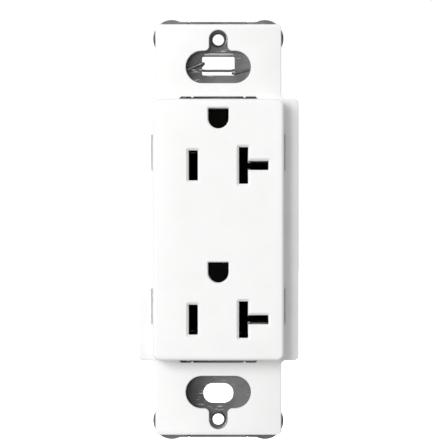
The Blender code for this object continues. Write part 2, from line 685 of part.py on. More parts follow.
def jaw_leaf(side, lean):
    """One leaf of a blade contact in plan: pinched near its mouth, flared at its lip."""
    centre = side * BLADE_SPACING / 2
    wide = LEAF_HALF_GAP + LEAF_THICKNESS / 2
    points = [
        (centre + lean * (wide + 0.35 * MM), JAW_FRONT),
        (centre + lean * wide, JAW_FRONT + 2.0 * MM),
        (centre + lean * (wide + 0.1 * MM), 3.0 * MM),
        (centre + lean * (wide + 0.35 * MM), 8.0 * MM),
        (centre + lean * (wide + 0.35 * MM), JAW_BACK - BUS_THICKNESS / 2),
    ]
    return ribbon(points, LEAF_THICKNESS)


def hot_jaw(row):
    """A blade contact of two leaves on a web, open towards the room."""
    leaves = [prism(f"hot_leaf_{lean}_{row:.4f}", [jaw_leaf(-1, lean)], row - JAW_HALF_LENGTH, row + JAW_HALF_LENGTH, "Z")
              for lean in (-1, 1)]
    return leaves


def neutral_jaw(row):
    """A T contact: one long inner leaf, and outer leaves that fold outwards round the level blade."""
    inner = prism(f"neutral_inner_{row:.4f}", [jaw_leaf(1, -1)], row - JAW_HALF_LENGTH, row + JAW_HALF_LENGTH, "Z")
    leaves = [inner]
    half_gap = LEAF_HALF_GAP
    for side in (-1, 1):
        near, far = sorted((row + side * half_gap, row + side * JAW_HALF_LENGTH))
        leaves.append(prism(f"neutral_outer_{side}_{row:.4f}", [jaw_leaf(1, 1)], near, far, "Z"))
        level_x = (BLADE_SPACING / 2 + LEAF_HALF_GAP + 0.4 * MM, BLADE_SPACING / 2 + NEUTRAL_LEG_END)
        level_z = (row + side * half_gap + side * 0.01 * MM, row + side * (half_gap + LEAF_THICKNESS))
        level_y = (JAW_FRONT + 2.0 * MM, JAW_BACK - BUS_THICKNESS / 2)
        leaves.append(boxes(f"neutral_level_{side}_{row:.4f}", (level_x, level_y, level_z)))
    return leaves


def contact_bus(name, side, jaw, finish):
    """Terminal plate, arms and both blade contacts, folded from one strip of brass."""
    bus = terminal_plate(name, side, PARTS)
    web_y = (JAW_BACK - BUS_THICKNESS, JAW_BACK - 0.02 * MM)
    inner_x = BLADE_SPACING / 2 - LEAF_HALF_GAP - LEAF_THICKNESS - 0.3 * MM
    outer_x = TERMINAL_OUTER_X - BUS_THICKNESS / 2
    webs = []
    for arm_row, blade_row in zip(arm_centres(), BLADE_ROWS):
        web_x = (side * inner_x, side * (inner_x + 4.2 * MM))
        webs.append(boxes(f"{name}_web_{blade_row:.4f}",
                          (web_x, web_y, (blade_row - JAW_HALF_LENGTH + 0.1 * MM, blade_row + JAW_HALF_LENGTH - 0.1 * MM))))
        arm_x = (side * (inner_x + 2.0 * MM), side * outer_x)
        arm_y = (web_y[0] + 0.01 * MM, web_y[1] - 0.01 * MM)
        webs.append(boxes(f"{name}_arm_{blade_row:.4f}",
                          (arm_x, arm_y, (arm_row - ARM_HALF_LENGTH + 0.05 * MM, arm_row + ARM_HALF_LENGTH - 0.05 * MM))))
    join(bus, *webs)
    for row in BLADE_ROWS:
        join(bus, *jaw(row))
    return dress(bus, finish)


def ground_contact_strip():
    """A brass strip behind the strap's spine with a contact for each ground pin."""
    low_y, high_y = GROUND_STRIP_Y
    half = GROUND_STRIP_HALF_WIDTH
    top, bottom = 31.2 * MM, RIVET_ROWS[2] - 2.2 * MM
    ring = [(3.6 * MM, 3.0 * MM), (3.6 * MM, -3.0 * MM)]
    right = [(3.6 * MM, top), (3.6 * MM, GROUND_ROWS[0] - 3.0 * MM), (half, GROUND_ROWS[0] - 3.0 * MM)]
    right += [(half, GROUND_ROWS[1] + 3.0 * MM)]
    right += [(x, GROUND_ROWS[1] + z) for x, z in ring]
    right += [(half, GROUND_ROWS[1] - 3.0 * MM), (half, bottom)]
    holes = [rounded_rectangle((0, row), 2.75 * MM, 2.8 * MM, 0.5 * MM, 1) for row in GROUND_ROWS]
    holes += [arc((0, row), RIVET_RADIUS + GAP / 2, 0, 330, 11) for row in RIVET_ROWS]
    strip = prism("ground_contact_strip", [right + mirror_x(right), *holes], low_y, high_y, collection=PARTS)
    centre = 2.75 * MM + LEAF_THICKNESS / 2 + 0.02 * MM
    for row in GROUND_ROWS:
        for side in (-1, 1):
            pinch = GROUND_JAW_HALF_GAP + LEAF_THICKNESS / 2
            leaf = ribbon(
                [(side * centre, (low_y + high_y) / 2), (side * centre, 2.6 * MM), (side * pinch, 7.5 * MM),
                 (side * (pinch + 0.5 * MM), GROUND_JAW_BACK)],
                LEAF_THICKNESS,
            )
            join(strip, prism(f"ground_leaf_{side}_{row:.4f}", [leaf], row - 2.3 * MM, row + 2.3 * MM, "Z"))
    return dress(strip, "brass")


def ground_rivet(name, row):
    """A round rivet through the strap's spine and the ground strip."""
    front = STRAP_FRONT - 0.1 * MM
    back = GROUND_STRIP_Y[1] + 0.1 * MM
    head, rise = 2.0 * MM, 0.7 * MM
    profile = [(0, front - rise), (head * 0.6, front - rise), (head, front), (RIVET_RADIUS, front),
               (RIVET_RADIUS, back), (head, back), (head * 0.6, back + rise), (0, back + rise)]
    mesh = bpy.data.meshes.new(name)
    mesh.from_pydata([(radius, 0, -depth) for radius, depth in profile], [(i, i + 1) for i in range(len(profile) - 1)], [])
    rivet = bpy.data.objects.new(name, mesh)
    PARTS.objects.link(rivet)
    rivet.rotation_euler = (math.radians(90), 0, 0)
    rivet.location = (0, 0, row)
    turned = rivet.modifiers.new("turned", "SCREW")
    turned.axis = "Z"
    turned.steps = turned.render_steps = 12
    turned.use_merge_vertices = True
    turned.merge_threshold = 1e-6
    turned.use_smooth_shade = True
    mesh.materials.append(finish_material("zinc_steel"))
    return rivet


# --- Screws, clamp plates and the grounding clip -----------------------------------------------


def screw(name, side, plate_outer_x, y, z, finish, head_sides):
    """A terminal screw along X whose head faces outwards, with a slot for the driver."""
    head_back = plate_outer_x + CLAMP_THICKNESS + 2 * GAP
    tip = head_back - SHANK_LENGTH
    bm = bmesh.new()
    add_cylinder(bm, (side * (head_back + HEAD_HEIGHT / 2), y, z), HEAD_RADIUS, HEAD_HEIGHT, "X", head_sides)
    obj = mesh_object(name, bm, PARTS)
    bm = bmesh.new()
    shank_end = head_back + HEAD_HEIGHT / 3
    add_cylinder(bm, (side * (tip + shank_end) / 2, y, z), SHANK_RADIUS, shank_end - tip, "X", 14)
    join(obj, mesh_object(name + "_shank", bm))
    width, depth = DRIVE_SLOT
    outer = head_back + HEAD_HEIGHT
    cut(obj, boxes(name + "_slot", ((side * (outer - depth), side * (outer + 1 * MM)),
                                    (y - HEAD_RADIUS - 1 * MM, y + HEAD_RADIUS + 1 * MM), (z - width / 2, z + width / 2))))
    place_origin(obj, (side * outer, y, z))
    return dress(obj, finish)


def place_origin(obj, point):
    """Moves an object's origin to a point, leaving its shape where it is."""
    obj.data.transform(Matrix.Translation(-Vector(point)))
    obj.location = point


def clamp_plate(name, side, plate_outer_x, y, z, finish):
    """The square plate under a screw's head that presses the wires against the terminal."""
    inner = plate_outer_x + GAP
    outer = inner + CLAMP_THICKNESS
    square = rounded_rectangle((y, z), CLAMP_HALF, CLAMP_HALF, 0.6 * MM, 1)
    hole = arc((y, z), SCREW_HOLE_RADIUS, 0, 345, 15)
    plate = prism(name, [square, hole], *sorted((side * inner, side * outer)), "X", PARTS)
    place_origin(plate, (side * inner, y, z))
    return dress(plate, finish)


def terminals():
    """The four line terminals and the ground terminal, each a screw and its clamp plate."""
    for label, side, finish in (("hot", -1, "brass"), ("neutral", 1, "nickel_plate")):
        for end, row in (("upper", SCREW_Z), ("lower", -SCREW_Z)):
            clamp_plate(f"{label}_clamp_{end}", side, TERMINAL_OUTER_X, SCREW_Y, row, finish)
            screw(f"{label}_screw_{end}", side, TERMINAL_OUTER_X, SCREW_Y, row, finish, 24)
    clamp_plate("ground_clamp", 1, TAB_OUTER_X, GROUND_SCREW_Y, GROUND_SCREW_Z, "zinc_steel")
    screw("ground_screw", 1, TAB_OUTER_X, GROUND_SCREW_Y, GROUND_SCREW_Z, "green_screw", 6)


def smooth_line(points, per_span):
    """A Catmull-Rom line through the points, with a few steps between each two."""
    line = [Vector(p) for p in points]
    padded = [2 * line[0] - line[1], *line, 2 * line[-1] - line[-2]]
    smooth = []
    for index in range(1, len(padded) - 2):
        p0, p1, p2, p3 = padded[index - 1:index + 3]
        for step in range(per_span):
            t = step / per_span
            smooth.append(0.5 * (2 * p1 + (p2 - p0) * t + (2 * p0 - 5 * p1 + 4 * p2 - p3) * t ** 2
                                 + (3 * p1 - p0 - 3 * p2 + p3) * t ** 3))
    return smooth + [line[-1]]


def grounding_clip():
    """The spring wire that crosses behind the upper slot and bears on the mounting screw."""
    front = STRAP_FRONT - WIRE_RADIUS - 0.15 * MM
    back = WIRE_RADIUS + 0.2 * MM
    edge = UPPER_SLOT[0] - WIRE_RADIUS - 0.14 * MM
    route = [
        (-7.7 * MM, front, 40.7 * MM),
        (-6.2 * MM, front, 41.4 * MM),
        (-4.9 * MM, front, 42.0 * MM),
        (-edge - 0.35 * MM, front - 0.05 * MM, 42.25 * MM),
        (-edge - 0.05 * MM, front + 0.2 * MM, 42.35 * MM),
        (-edge, STRAP_FRONT, 42.35 * MM),
        (-edge, 0.0, 42.3 * MM),
        (-edge - 0.1 * MM, back - 0.15 * MM, 42.15 * MM),
        (-edge - 0.5 * MM, back, 41.8 * MM),
        (-edge - 0.75 * MM, back, 41.2 * MM),
        (-edge - 0.5 * MM, back, 40.7 * MM),
        (-2.6 * MM, back, 40.5 * MM),
        (2.6 * MM, back, 40.5 * MM),
        (edge + 0.5 * MM, back, 40.95 * MM),
        (edge + 0.95 * MM, back, 40.65 * MM),
        (edge + 0.85 * MM, back, 40.15 * MM),
        (edge + 0.4 * MM, back, 39.9 * MM),
        (edge + 0.1 * MM, back - 0.15 * MM, 39.85 * MM),
        (edge, 0.0, 39.82 * MM),
        (edge, STRAP_FRONT, 39.82 * MM),
        (edge + 0.05 * MM, front + 0.2 * MM, 39.84 * MM),
        (edge + 0.35 * MM, front - 0.05 * MM, 39.87 * MM),
        (4.9 * MM, front, 40.0 * MM),
        (6.2 * MM, front, 40.35 * MM),
        (7.8 * MM, front, 40.8 * MM),
    ]
    curve = bpy.data.curves.new("grounding_clip_wire", "CURVE")
    curve.dimensions = "3D"
    curve.bevel_depth = WIRE_RADIUS
    curve.bevel_resolution = 1
    curve.use_fill_caps = True
    line = smooth_line(route, 2)
    spline = curve.splines.new("POLY")
    spline.points.add(len(line) - 1)
    for point, place in zip(spline.points, line):
        point.co = (*place, 1.0)
    flat = bpy.data.objects.new("grounding_clip_line", curve)
    bpy.context.scene.collection.objects.link(flat)
    bpy.context.view_layer.update()
    mesh = bpy.data.meshes.new_from_object(flat.evaluated_get(bpy.context.evaluated_depsgraph_get()))
    bpy.data.objects.remove(flat)
    bm = bmesh.new()
    bm.from_mesh(mesh)
    bmesh.ops.remove_doubles(bm, verts=bm.verts, dist=1e-6)
    bmesh.ops.recalc_face_normals(bm, faces=bm.faces)
    bpy.data.meshes.remove(mesh)
    return dress(mesh_object("grounding_clip_wire", bm, PARTS), "spring_bronze")


front_cover()
mounting_strap()
rear_body()
contact_bus("hot_contact_bus", -1, hot_jaw, "brass")
contact_bus("neutral_contact_bus", 1, neutral_jaw, "nickel_plate")
ground_contact_strip()
for rivet_name, rivet_row in zip(("ground_rivet_upper", "ground_rivet_middle", "ground_rivet_lower"), RIVET_ROWS):
    ground_rivet(rivet_name, rivet_row)
terminals()
grounding_clip()
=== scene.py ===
"""Finished looks of a decorator-style duplex wall outlet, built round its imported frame.

The outlet stands upright: +Z is up, -Y is towards the room, and the origin is the middle of the
mounting plane, at the back of the steel strap. Lengths are in metres. Each sub-assembly is a class
that builds its own pieces with bmesh operators and dresses them in a finish.
"""

from __future__ import annotations

import logging
import math
from dataclasses import dataclass
from enum import Enum
from typing import Iterable, Sequence

import bmesh
import bpy
from mathutils import Matrix, Vector


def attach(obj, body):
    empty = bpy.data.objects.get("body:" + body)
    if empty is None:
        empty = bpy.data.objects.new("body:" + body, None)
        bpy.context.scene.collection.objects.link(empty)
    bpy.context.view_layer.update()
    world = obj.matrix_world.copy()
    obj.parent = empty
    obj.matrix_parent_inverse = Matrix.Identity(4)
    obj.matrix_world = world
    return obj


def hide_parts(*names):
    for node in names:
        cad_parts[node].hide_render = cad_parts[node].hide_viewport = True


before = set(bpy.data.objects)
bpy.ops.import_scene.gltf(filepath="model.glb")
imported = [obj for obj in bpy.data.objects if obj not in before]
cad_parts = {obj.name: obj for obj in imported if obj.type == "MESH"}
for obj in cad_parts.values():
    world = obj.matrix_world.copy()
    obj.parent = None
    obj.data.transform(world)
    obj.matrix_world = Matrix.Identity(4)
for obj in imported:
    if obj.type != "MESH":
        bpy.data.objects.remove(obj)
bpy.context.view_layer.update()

LOG = logging.getLogger("outlet")
MM = 0.001
ROOT_BODY = "outlet"
SMOOTH_ANGLE = math.radians(32)
FLAT_ANGLE = math.radians(0.5)
NEARLY_ALONG = 0.99
LARGE_CORNER = 1.0 * MM

# How near two points count as one: in a shape, in a Boolean's result, and on a level.
MERGE = 1e-7
JOIN = 2e-6
SAME = 1e-6

# The least that a sharp corner's mitre is divided by, so that its point doesn't run away.
MITRE_LIMIT = 0.35

# How far a cutter runs past the surface that it opens.
CLEAR = 1.0 * MM

# Standard spacings that the whole outlet is laid out on.
PLATE_SCREW_Z = 48.42 * MM
MOUNTING_SLOT_Z = 41.67 * MM
BLADE_X = 6.35 * MM
UPPER_BLADE_Z = 16.2 * MM
OUTLET_PITCH = 38.9 * MM
GROUND_RISE = 11.9 * MM
BLADE_ROWS = (UPPER_BLADE_Z, UPPER_BLADE_Z - OUTLET_PITCH)
GROUND_ROWS = tuple(row + GROUND_RISE for row in BLADE_ROWS)

# Depths, from the room to the wall.
FACE_FRONT = -9.0 * MM
FLANGE_FRONT = -3.0 * MM
FLANGE_BACK = -1.6 * MM
STRAP_FRONT = -1.3 * MM
SKIRT_BACK = 3.0 * MM
BODY_FRONT = 0.4 * MM
BODY_BACK = 24.0 * MM

# Terminals, contacts and rivets.
TERMINAL_OUTER_X = 14.7 * MM
TAB_FACE_X = 11.0 * MM
PLATE_Y = (4.5 * MM, 16.5 * MM)
SCREW_Y = 10.5 * MM
SCREW_Z = 8.3 * MM
GROUND_SCREW_Y = 5.6 * MM
GROUND_SCREW_Z = 38.4 * MM
SCREW_HOLE = 2.3 * MM
SHANK = 1.95 * MM
JAW_BACK = 13.0 * MM
ARM_HALF = 2.5 * MM
ARM_ROWS = (BLADE_ROWS[0] - 0.1 * MM, BLADE_ROWS[1] + 1.2 * MM)
RIVET_ROWS = (20.0 * MM, 2.0 * MM, -19.0 * MM)
RIVET_HOLE = 1.35 * MM

# Signs: of two sides, of four quarters, and of a rectangle's corners in order round it.
SIDES = (1, -1)
QUARTERS = ((1, 1), (1, -1), (-1, 1), (-1, -1))
ROUND_CORNERS = ((1, 1), (1, -1), (-1, -1), (-1, 1))

Point = tuple[float, float]
Span = tuple[float, float]
Corner = tuple[float, float, float]
Colour = tuple[float, float, float]
Tree = bpy.types.NodeTree
Socket = bpy.types.NodeSocket


class Axis(Enum):
    """The direction that a plate's thickness runs along."""

    X = "X"
    Y = "Y"
    Z = "Z"


class Grain(Enum):
    """The kind of surface that a finish has."""

    MOULDED = "moulded"
    STAMPED = "stamped"
    PLATED = "plated"
    DRAWN = "drawn"


# --- Finishes ----------------------------------------------------------------------------------

# The stretch of a noise's values over which each effect comes in.
WHOLE = (0.0, 1.0)
DRIFT_BAND = (0.42, 0.68)
GLOSS_BAND = (0.7, 1.3)
CLOUD_BAND = (0.3, 0.55)
SCRATCH_BAND = (0.58, 0.7)
RUBBED_BAND = (0.5, 0.66)

RELIEF_DEPTH = 0.02 * MM
SCRATCH_SCALE = 3200.0
SCRATCH_TURN = (0.3, 0.9, 0.5)
SCRATCH_STRETCH = (0.14, 1.0, 1.0)
RUBBED_SCALE = 190.0

# Where the end plates get painted shade, a darker reflection painted on their left halves, and where the
# coined lip stands proud and gets a painted highlight.
PAINTED_SHADE_COLOUR = (0.035, 0.035, 0.037)
PAINTED_SHADE_X = (0.5 * MM, -7.0 * MM)
PAINTED_SHADE_Z = (49.5 * MM, 46.5 * MM)
CREST_Y = (STRAP_FRONT - 0.02 * MM, STRAP_FRONT - 0.09 * MM)
CREST_SHINE = 0.55


@dataclass(frozen=True)
class Finish:
    """One material, with the colours, gloss and surface detail that it is made of.

    Attributes:
        name: The material's name.
        slot: The record's material slot for its pieces; not used.
        base: The main colour, as linear red, green and blue.
        accent: The colour that patches of the surface drift towards.
        roughness: The lowest and highest roughness over the surface.
        metallic: 1 for metal, 0 for plastic.
        grain: The kind of surface.
        detail: How many times the fine grain repeats in a metre.
        bump: How strongly the grain stands out, from 0 to 1.
        worn_and_highlight: The colour of rubbed spots and scratches, and of the painted highlight on the
            coined lip.
        patch: How many times the colour's drift repeats in a metre.
        painted_shade: How strongly the painted shade, a darker reflection painted in patches on the left
            halves of the end plates, takes them towards PAINTED_SHADE_COLOUR, from 0 to 1.
    """

    name: str
    slot: str
    base: Colour
    accent: Colour
    roughness: Span
    metallic: float
    grain: Grain
    detail: float = 9000.0
    bump: float = 0.08
    worn_and_highlight: Colour = (0.6, 0.6, 0.6)
    patch: float = 160.0
    painted_shade: float = 0.0

    def material(self) -> bpy.types.Material:
        """Returns the finish's material, made the first time it is asked for."""
        found = bpy.data.materials.get(self.name)
        if found is not None:
            return found
        material = bpy.data.materials.new(self.name)
        material.use_nodes = True
        self._wire(material.node_tree)
        return material

    def _wire(self, tree: Tree) -> None:
        """Joins the nodes for colour, gloss and relief.

        Args:
            tree: The material's node tree, as Blender first makes it.
        """
        shader = tree.nodes["Principled BSDF"]
        shader.inputs["Metallic"].default_value = self.metallic
        place = tree.nodes.new("ShaderNodeTexCoord").outputs["Object"]
        stretch = tree.nodes.new("ShaderNodeMapping")
        stretch.inputs["Scale"].default_value = self._stretch()
        tree.links.new(place, stretch.inputs["Vector"])

        patches = self._noise(tree, place, self.patch, 4.0)
        fine = self._noise(tree, stretch.outputs["Vector"], self.detail, 3.0)
        drift = self._spread(tree, patches, DRIFT_BAND, WHOLE)
        colour = self._blend(tree, drift, self.base, self.accent)
        relief = fine
        # Painted shade on the left halves of the end plates, and a painted highlight on the coined lip.
        if self.painted_shade:
            colour = self._paint_shade_and_highlight(tree, place, patches, colour)
        if self.grain in (Grain.STAMPED, Grain.PLATED):
            marks = self._scratches(tree, place)
            colour = self._blend(tree, marks, colour, self.worn_and_highlight)
            relief = self._sum(tree, "SUBTRACT", fine, marks)
        tree.links.new(colour, shader.inputs["Base Color"])

        gloss = self._spread(tree, self._sum(tree, "ADD", patches, fine), GLOSS_BAND, self.roughness)
        tree.links.new(gloss, shader.inputs["Roughness"])
        raised = tree.nodes.new("ShaderNodeBump")
        raised.inputs["Strength"].default_value = self.bump
        raised.inputs["Distance"].default_value = RELIEF_DEPTH
        tree.links.new(relief, raised.inputs["Height"])
        tree.links.new(raised.outputs["Normal"], shader.inputs["Normal"])

    def _paint_shade_and_highlight(self, tree: Tree, place: Socket, patches: Socket, colour: Socket) -> Socket:
        """Paints shade, as a darker reflection in patches, on the left halves of the end plates, and paints a
        highlight on the coined lip.

        Args:
            tree: The node tree.
            place: Object coordinates.
            patches: The socket with the colour's drift.
            colour: The socket with the colour so far.

        Returns:
            The socket with the colour, carrying its painted shade and painted highlight.
        """
        split = tree.nodes.new("ShaderNodeSeparateXYZ")
        tree.links.new(place, split.inputs[0])
        height = tree.nodes.new("ShaderNodeMath")
        height.operation = "ABSOLUTE"
        tree.links.new(split.outputs["Z"], height.inputs[0])
        # Painted shade: a darker reflection that grows towards -X on the end plates, broken up by noise
        # patches.
        left = self._spread(tree, split.outputs["X"], PAINTED_SHADE_X, (0.0, self.painted_shade))
        inner = self._spread(tree, height.outputs[0], PAINTED_SHADE_Z, WHOLE)
        cloudy = self._spread(tree, patches, CLOUD_BAND, (0.65, 1.0))
        painted_shade_mask = self._sum(tree, "MULTIPLY", self._sum(tree, "MULTIPLY", left, inner), cloudy)
        colour = self._blend(tree, painted_shade_mask, colour, PAINTED_SHADE_COLOUR)
        # Painted highlight: a bright band across the front of the coined lip, in the same colour as the rubbed
        # spots.
        crest = self._spread(tree, split.outputs["Y"], CREST_Y, (0.0, CREST_SHINE))
        return self._blend(tree, crest, colour, self.worn_and_highlight)

    def _stretch(self) -> tuple[float, float, float]:
        """The grain's stretch along each axis: drawn wire and stamped sheet are streaked."""
        if self.grain is Grain.DRAWN:
            return (0.1, 1.0, 1.0)
        if self.grain is Grain.STAMPED:
            return (1.0, 1.0, 0.25)
        return (1.0, 1.0, 1.0)

    @staticmethod
    def _noise(tree: Tree, place: Socket, scale: float, detail: float) -> Socket:
        """Adds a noise texture.

        Args:
            tree: The node tree.
            place: The coordinates that the noise is read at.
            scale: How many times it repeats in a metre.
            detail: How many finer layers it has.

        Returns:
            The socket with the noise, from 0 to 1.
        """
        noise = tree.nodes.new("ShaderNodeTexNoise")
        noise.inputs["Scale"].default_value = scale
        noise.inputs["Detail"].default_value = detail
        tree.links.new(place, noise.inputs["Vector"])
        return noise.outputs["Fac"]

    @staticmethod
    def _spread(tree: Tree, value: Socket, source: Span, target: Span) -> Socket:
        """Maps a value from one range to another.

        Args:
            tree: The node tree.
            value: The socket with the value.
            source: The range that it comes from.
            target: The range that it is spread over.

        Returns:
            The socket with the mapped value.
        """
        spread = tree.nodes.new("ShaderNodeMapRange")
        spread.inputs["From Min"].default_value, spread.inputs["From Max"].default_value = source
        spread.inputs["To Min"].default_value, spread.inputs["To Max"].default_value = target
        tree.links.new(value, spread.inputs["Value"])
        return spread.outputs["Result"]

    @staticmethod
    def _blend(tree: Tree, factor: Socket, first: Colour | Socket, second: Colour | Socket) -> Socket:
        """Mixes two colours, each a plain colour or a socket.

        Args:
            tree: The node tree.
            factor: The socket that says how much of the second there is.
            first: The colour at 0.
            second: The colour at 1.

        Returns:
            The socket with the mixed colour.
        """
        blend = tree.nodes.new("ShaderNodeMix")
        blend.data_type = "RGBA"
        tree.links.new(factor, blend.inputs["Factor"])
        for name, colour in (("A", first), ("B", second)):
            target = next(item for item in blend.inputs if item.name == name and item.type == "RGBA")
            if isinstance(colour, tuple):
                target.default_value = (*colour, 1.0)
            else:
                tree.links.new(colour, target)
        return next(item for item in blend.outputs if item.type == "RGBA")

    @staticmethod
    def _sum(tree: Tree, operation: str, first: Socket, second: Socket) -> Socket:
        """Adds, subtracts or multiplies two values.

        Args:
            tree: The node tree.
            operation: ADD, SUBTRACT or MULTIPLY.
            first: The socket with the first value.
            second: The socket with the second value.

        Returns:
            The socket with the result.
        """
        total = tree.nodes.new("ShaderNodeMath")
        total.operation = operation
        tree.links.new(first, total.inputs[0])
        tree.links.new(second, total.inputs[1])
        return total.outputs[0]

    def _scratches(self, tree: Tree, place: Socket) -> Socket:
        """Adds thin scratches, which gather where the sheet was rubbed.

        Args:
            tree: The node tree.
            place: Object coordinates.

        Returns:
            The socket with the scratches, from 0 to 1.
        """
        turned = tree.nodes.new("ShaderNodeMapping")
        turned.inputs["Rotation"].default_value = SCRATCH_TURN
        turned.inputs["Scale"].default_value = SCRATCH_STRETCH
        tree.links.new(place, turned.inputs["Vector"])
        streaks = self._noise(tree, turned.outputs["Vector"], SCRATCH_SCALE, 2.0)
        lines = self._spread(tree, streaks, SCRATCH_BAND, WHOLE)
        rubbed = self._spread(tree, self._noise(tree, place, RUBBED_SCALE, 1.0), RUBBED_BAND, WHOLE)
        return self._sum(tree, "MULTIPLY", lines, rubbed)


WHITE_PLASTIC = Finish(
    "white_moulding", "white_plastic", (0.87, 0.87, 0.865), (0.85, 0.85, 0.845), (0.32, 0.42), 0.0,
    Grain.MOULDED, detail=14000.0, bump=0.05,
)
DARK_PLASTIC = Finish(
    "dark_moulding", "grey_plastic", (0.030, 0.031, 0.033), (0.042, 0.043, 0.045), (0.42, 0.58), 0.0,
    Grain.MOULDED, detail=9000.0, bump=0.25,
)
STEEL = Finish(
    "galvanised_sheet", "galvanised_steel", (0.225, 0.225, 0.229), (0.09, 0.09, 0.093), (0.30, 0.46), 1.0,
    Grain.STAMPED, detail=7000.0, bump=0.35, worn_and_highlight=(0.62, 0.62, 0.63), patch=75.0, painted_shade=0.85,
)
BRASS = Finish(
    "stamped_brass", "brass", (0.72, 0.50, 0.20), (0.58, 0.36, 0.13), (0.24, 0.42), 1.0,
    Grain.STAMPED, detail=8000.0, bump=0.25,
)
NICKEL = Finish(
    "nickel_plating", "nickel_plate", (0.62, 0.60, 0.56), (0.50, 0.48, 0.44), (0.2, 0.36), 1.0,
    Grain.PLATED, detail=8000.0, bump=0.2,
)
GREEN_ZINC = Finish(
    "green_plating", "green_screw", (0.03, 0.24, 0.09), (0.02, 0.15, 0.06), (0.26, 0.44), 0.75,
    Grain.PLATED, detail=8000.0, bump=0.25,
)
ZINC = Finish(
    "zinc_plating", "zinc_steel", (0.52, 0.53, 0.55), (0.40, 0.41, 0.44), (0.24, 0.4), 1.0,
    Grain.PLATED, detail=8000.0, bump=0.25,
)
BRONZE_WIRE = Finish(
    "drawn_wire", "spring_bronze", (0.22, 0.212, 0.20), (0.15, 0.143, 0.133), (0.22, 0.36), 1.0,
    Grain.DRAWN, detail=6000.0, bump=0.15,
)


# --- Modelling ---------------------------------------------------------------------------------


def rectangle(middle: Point, half: Point, radius: float) -> list[Corner]:
    """The four corners of a rectangle, each with the same radius, in order round it."""
    return [(middle[0] + sx * half[0], middle[1] + sz * half[1], radius) for sx, sz in ROUND_CORNERS]


def both_halves(right: Sequence[Corner]) -> list[Corner]:
    """An outline from its right half, which is mirrored to the left."""
    return [*right, *((-x, z, radius) for x, z, radius in reversed(right))]


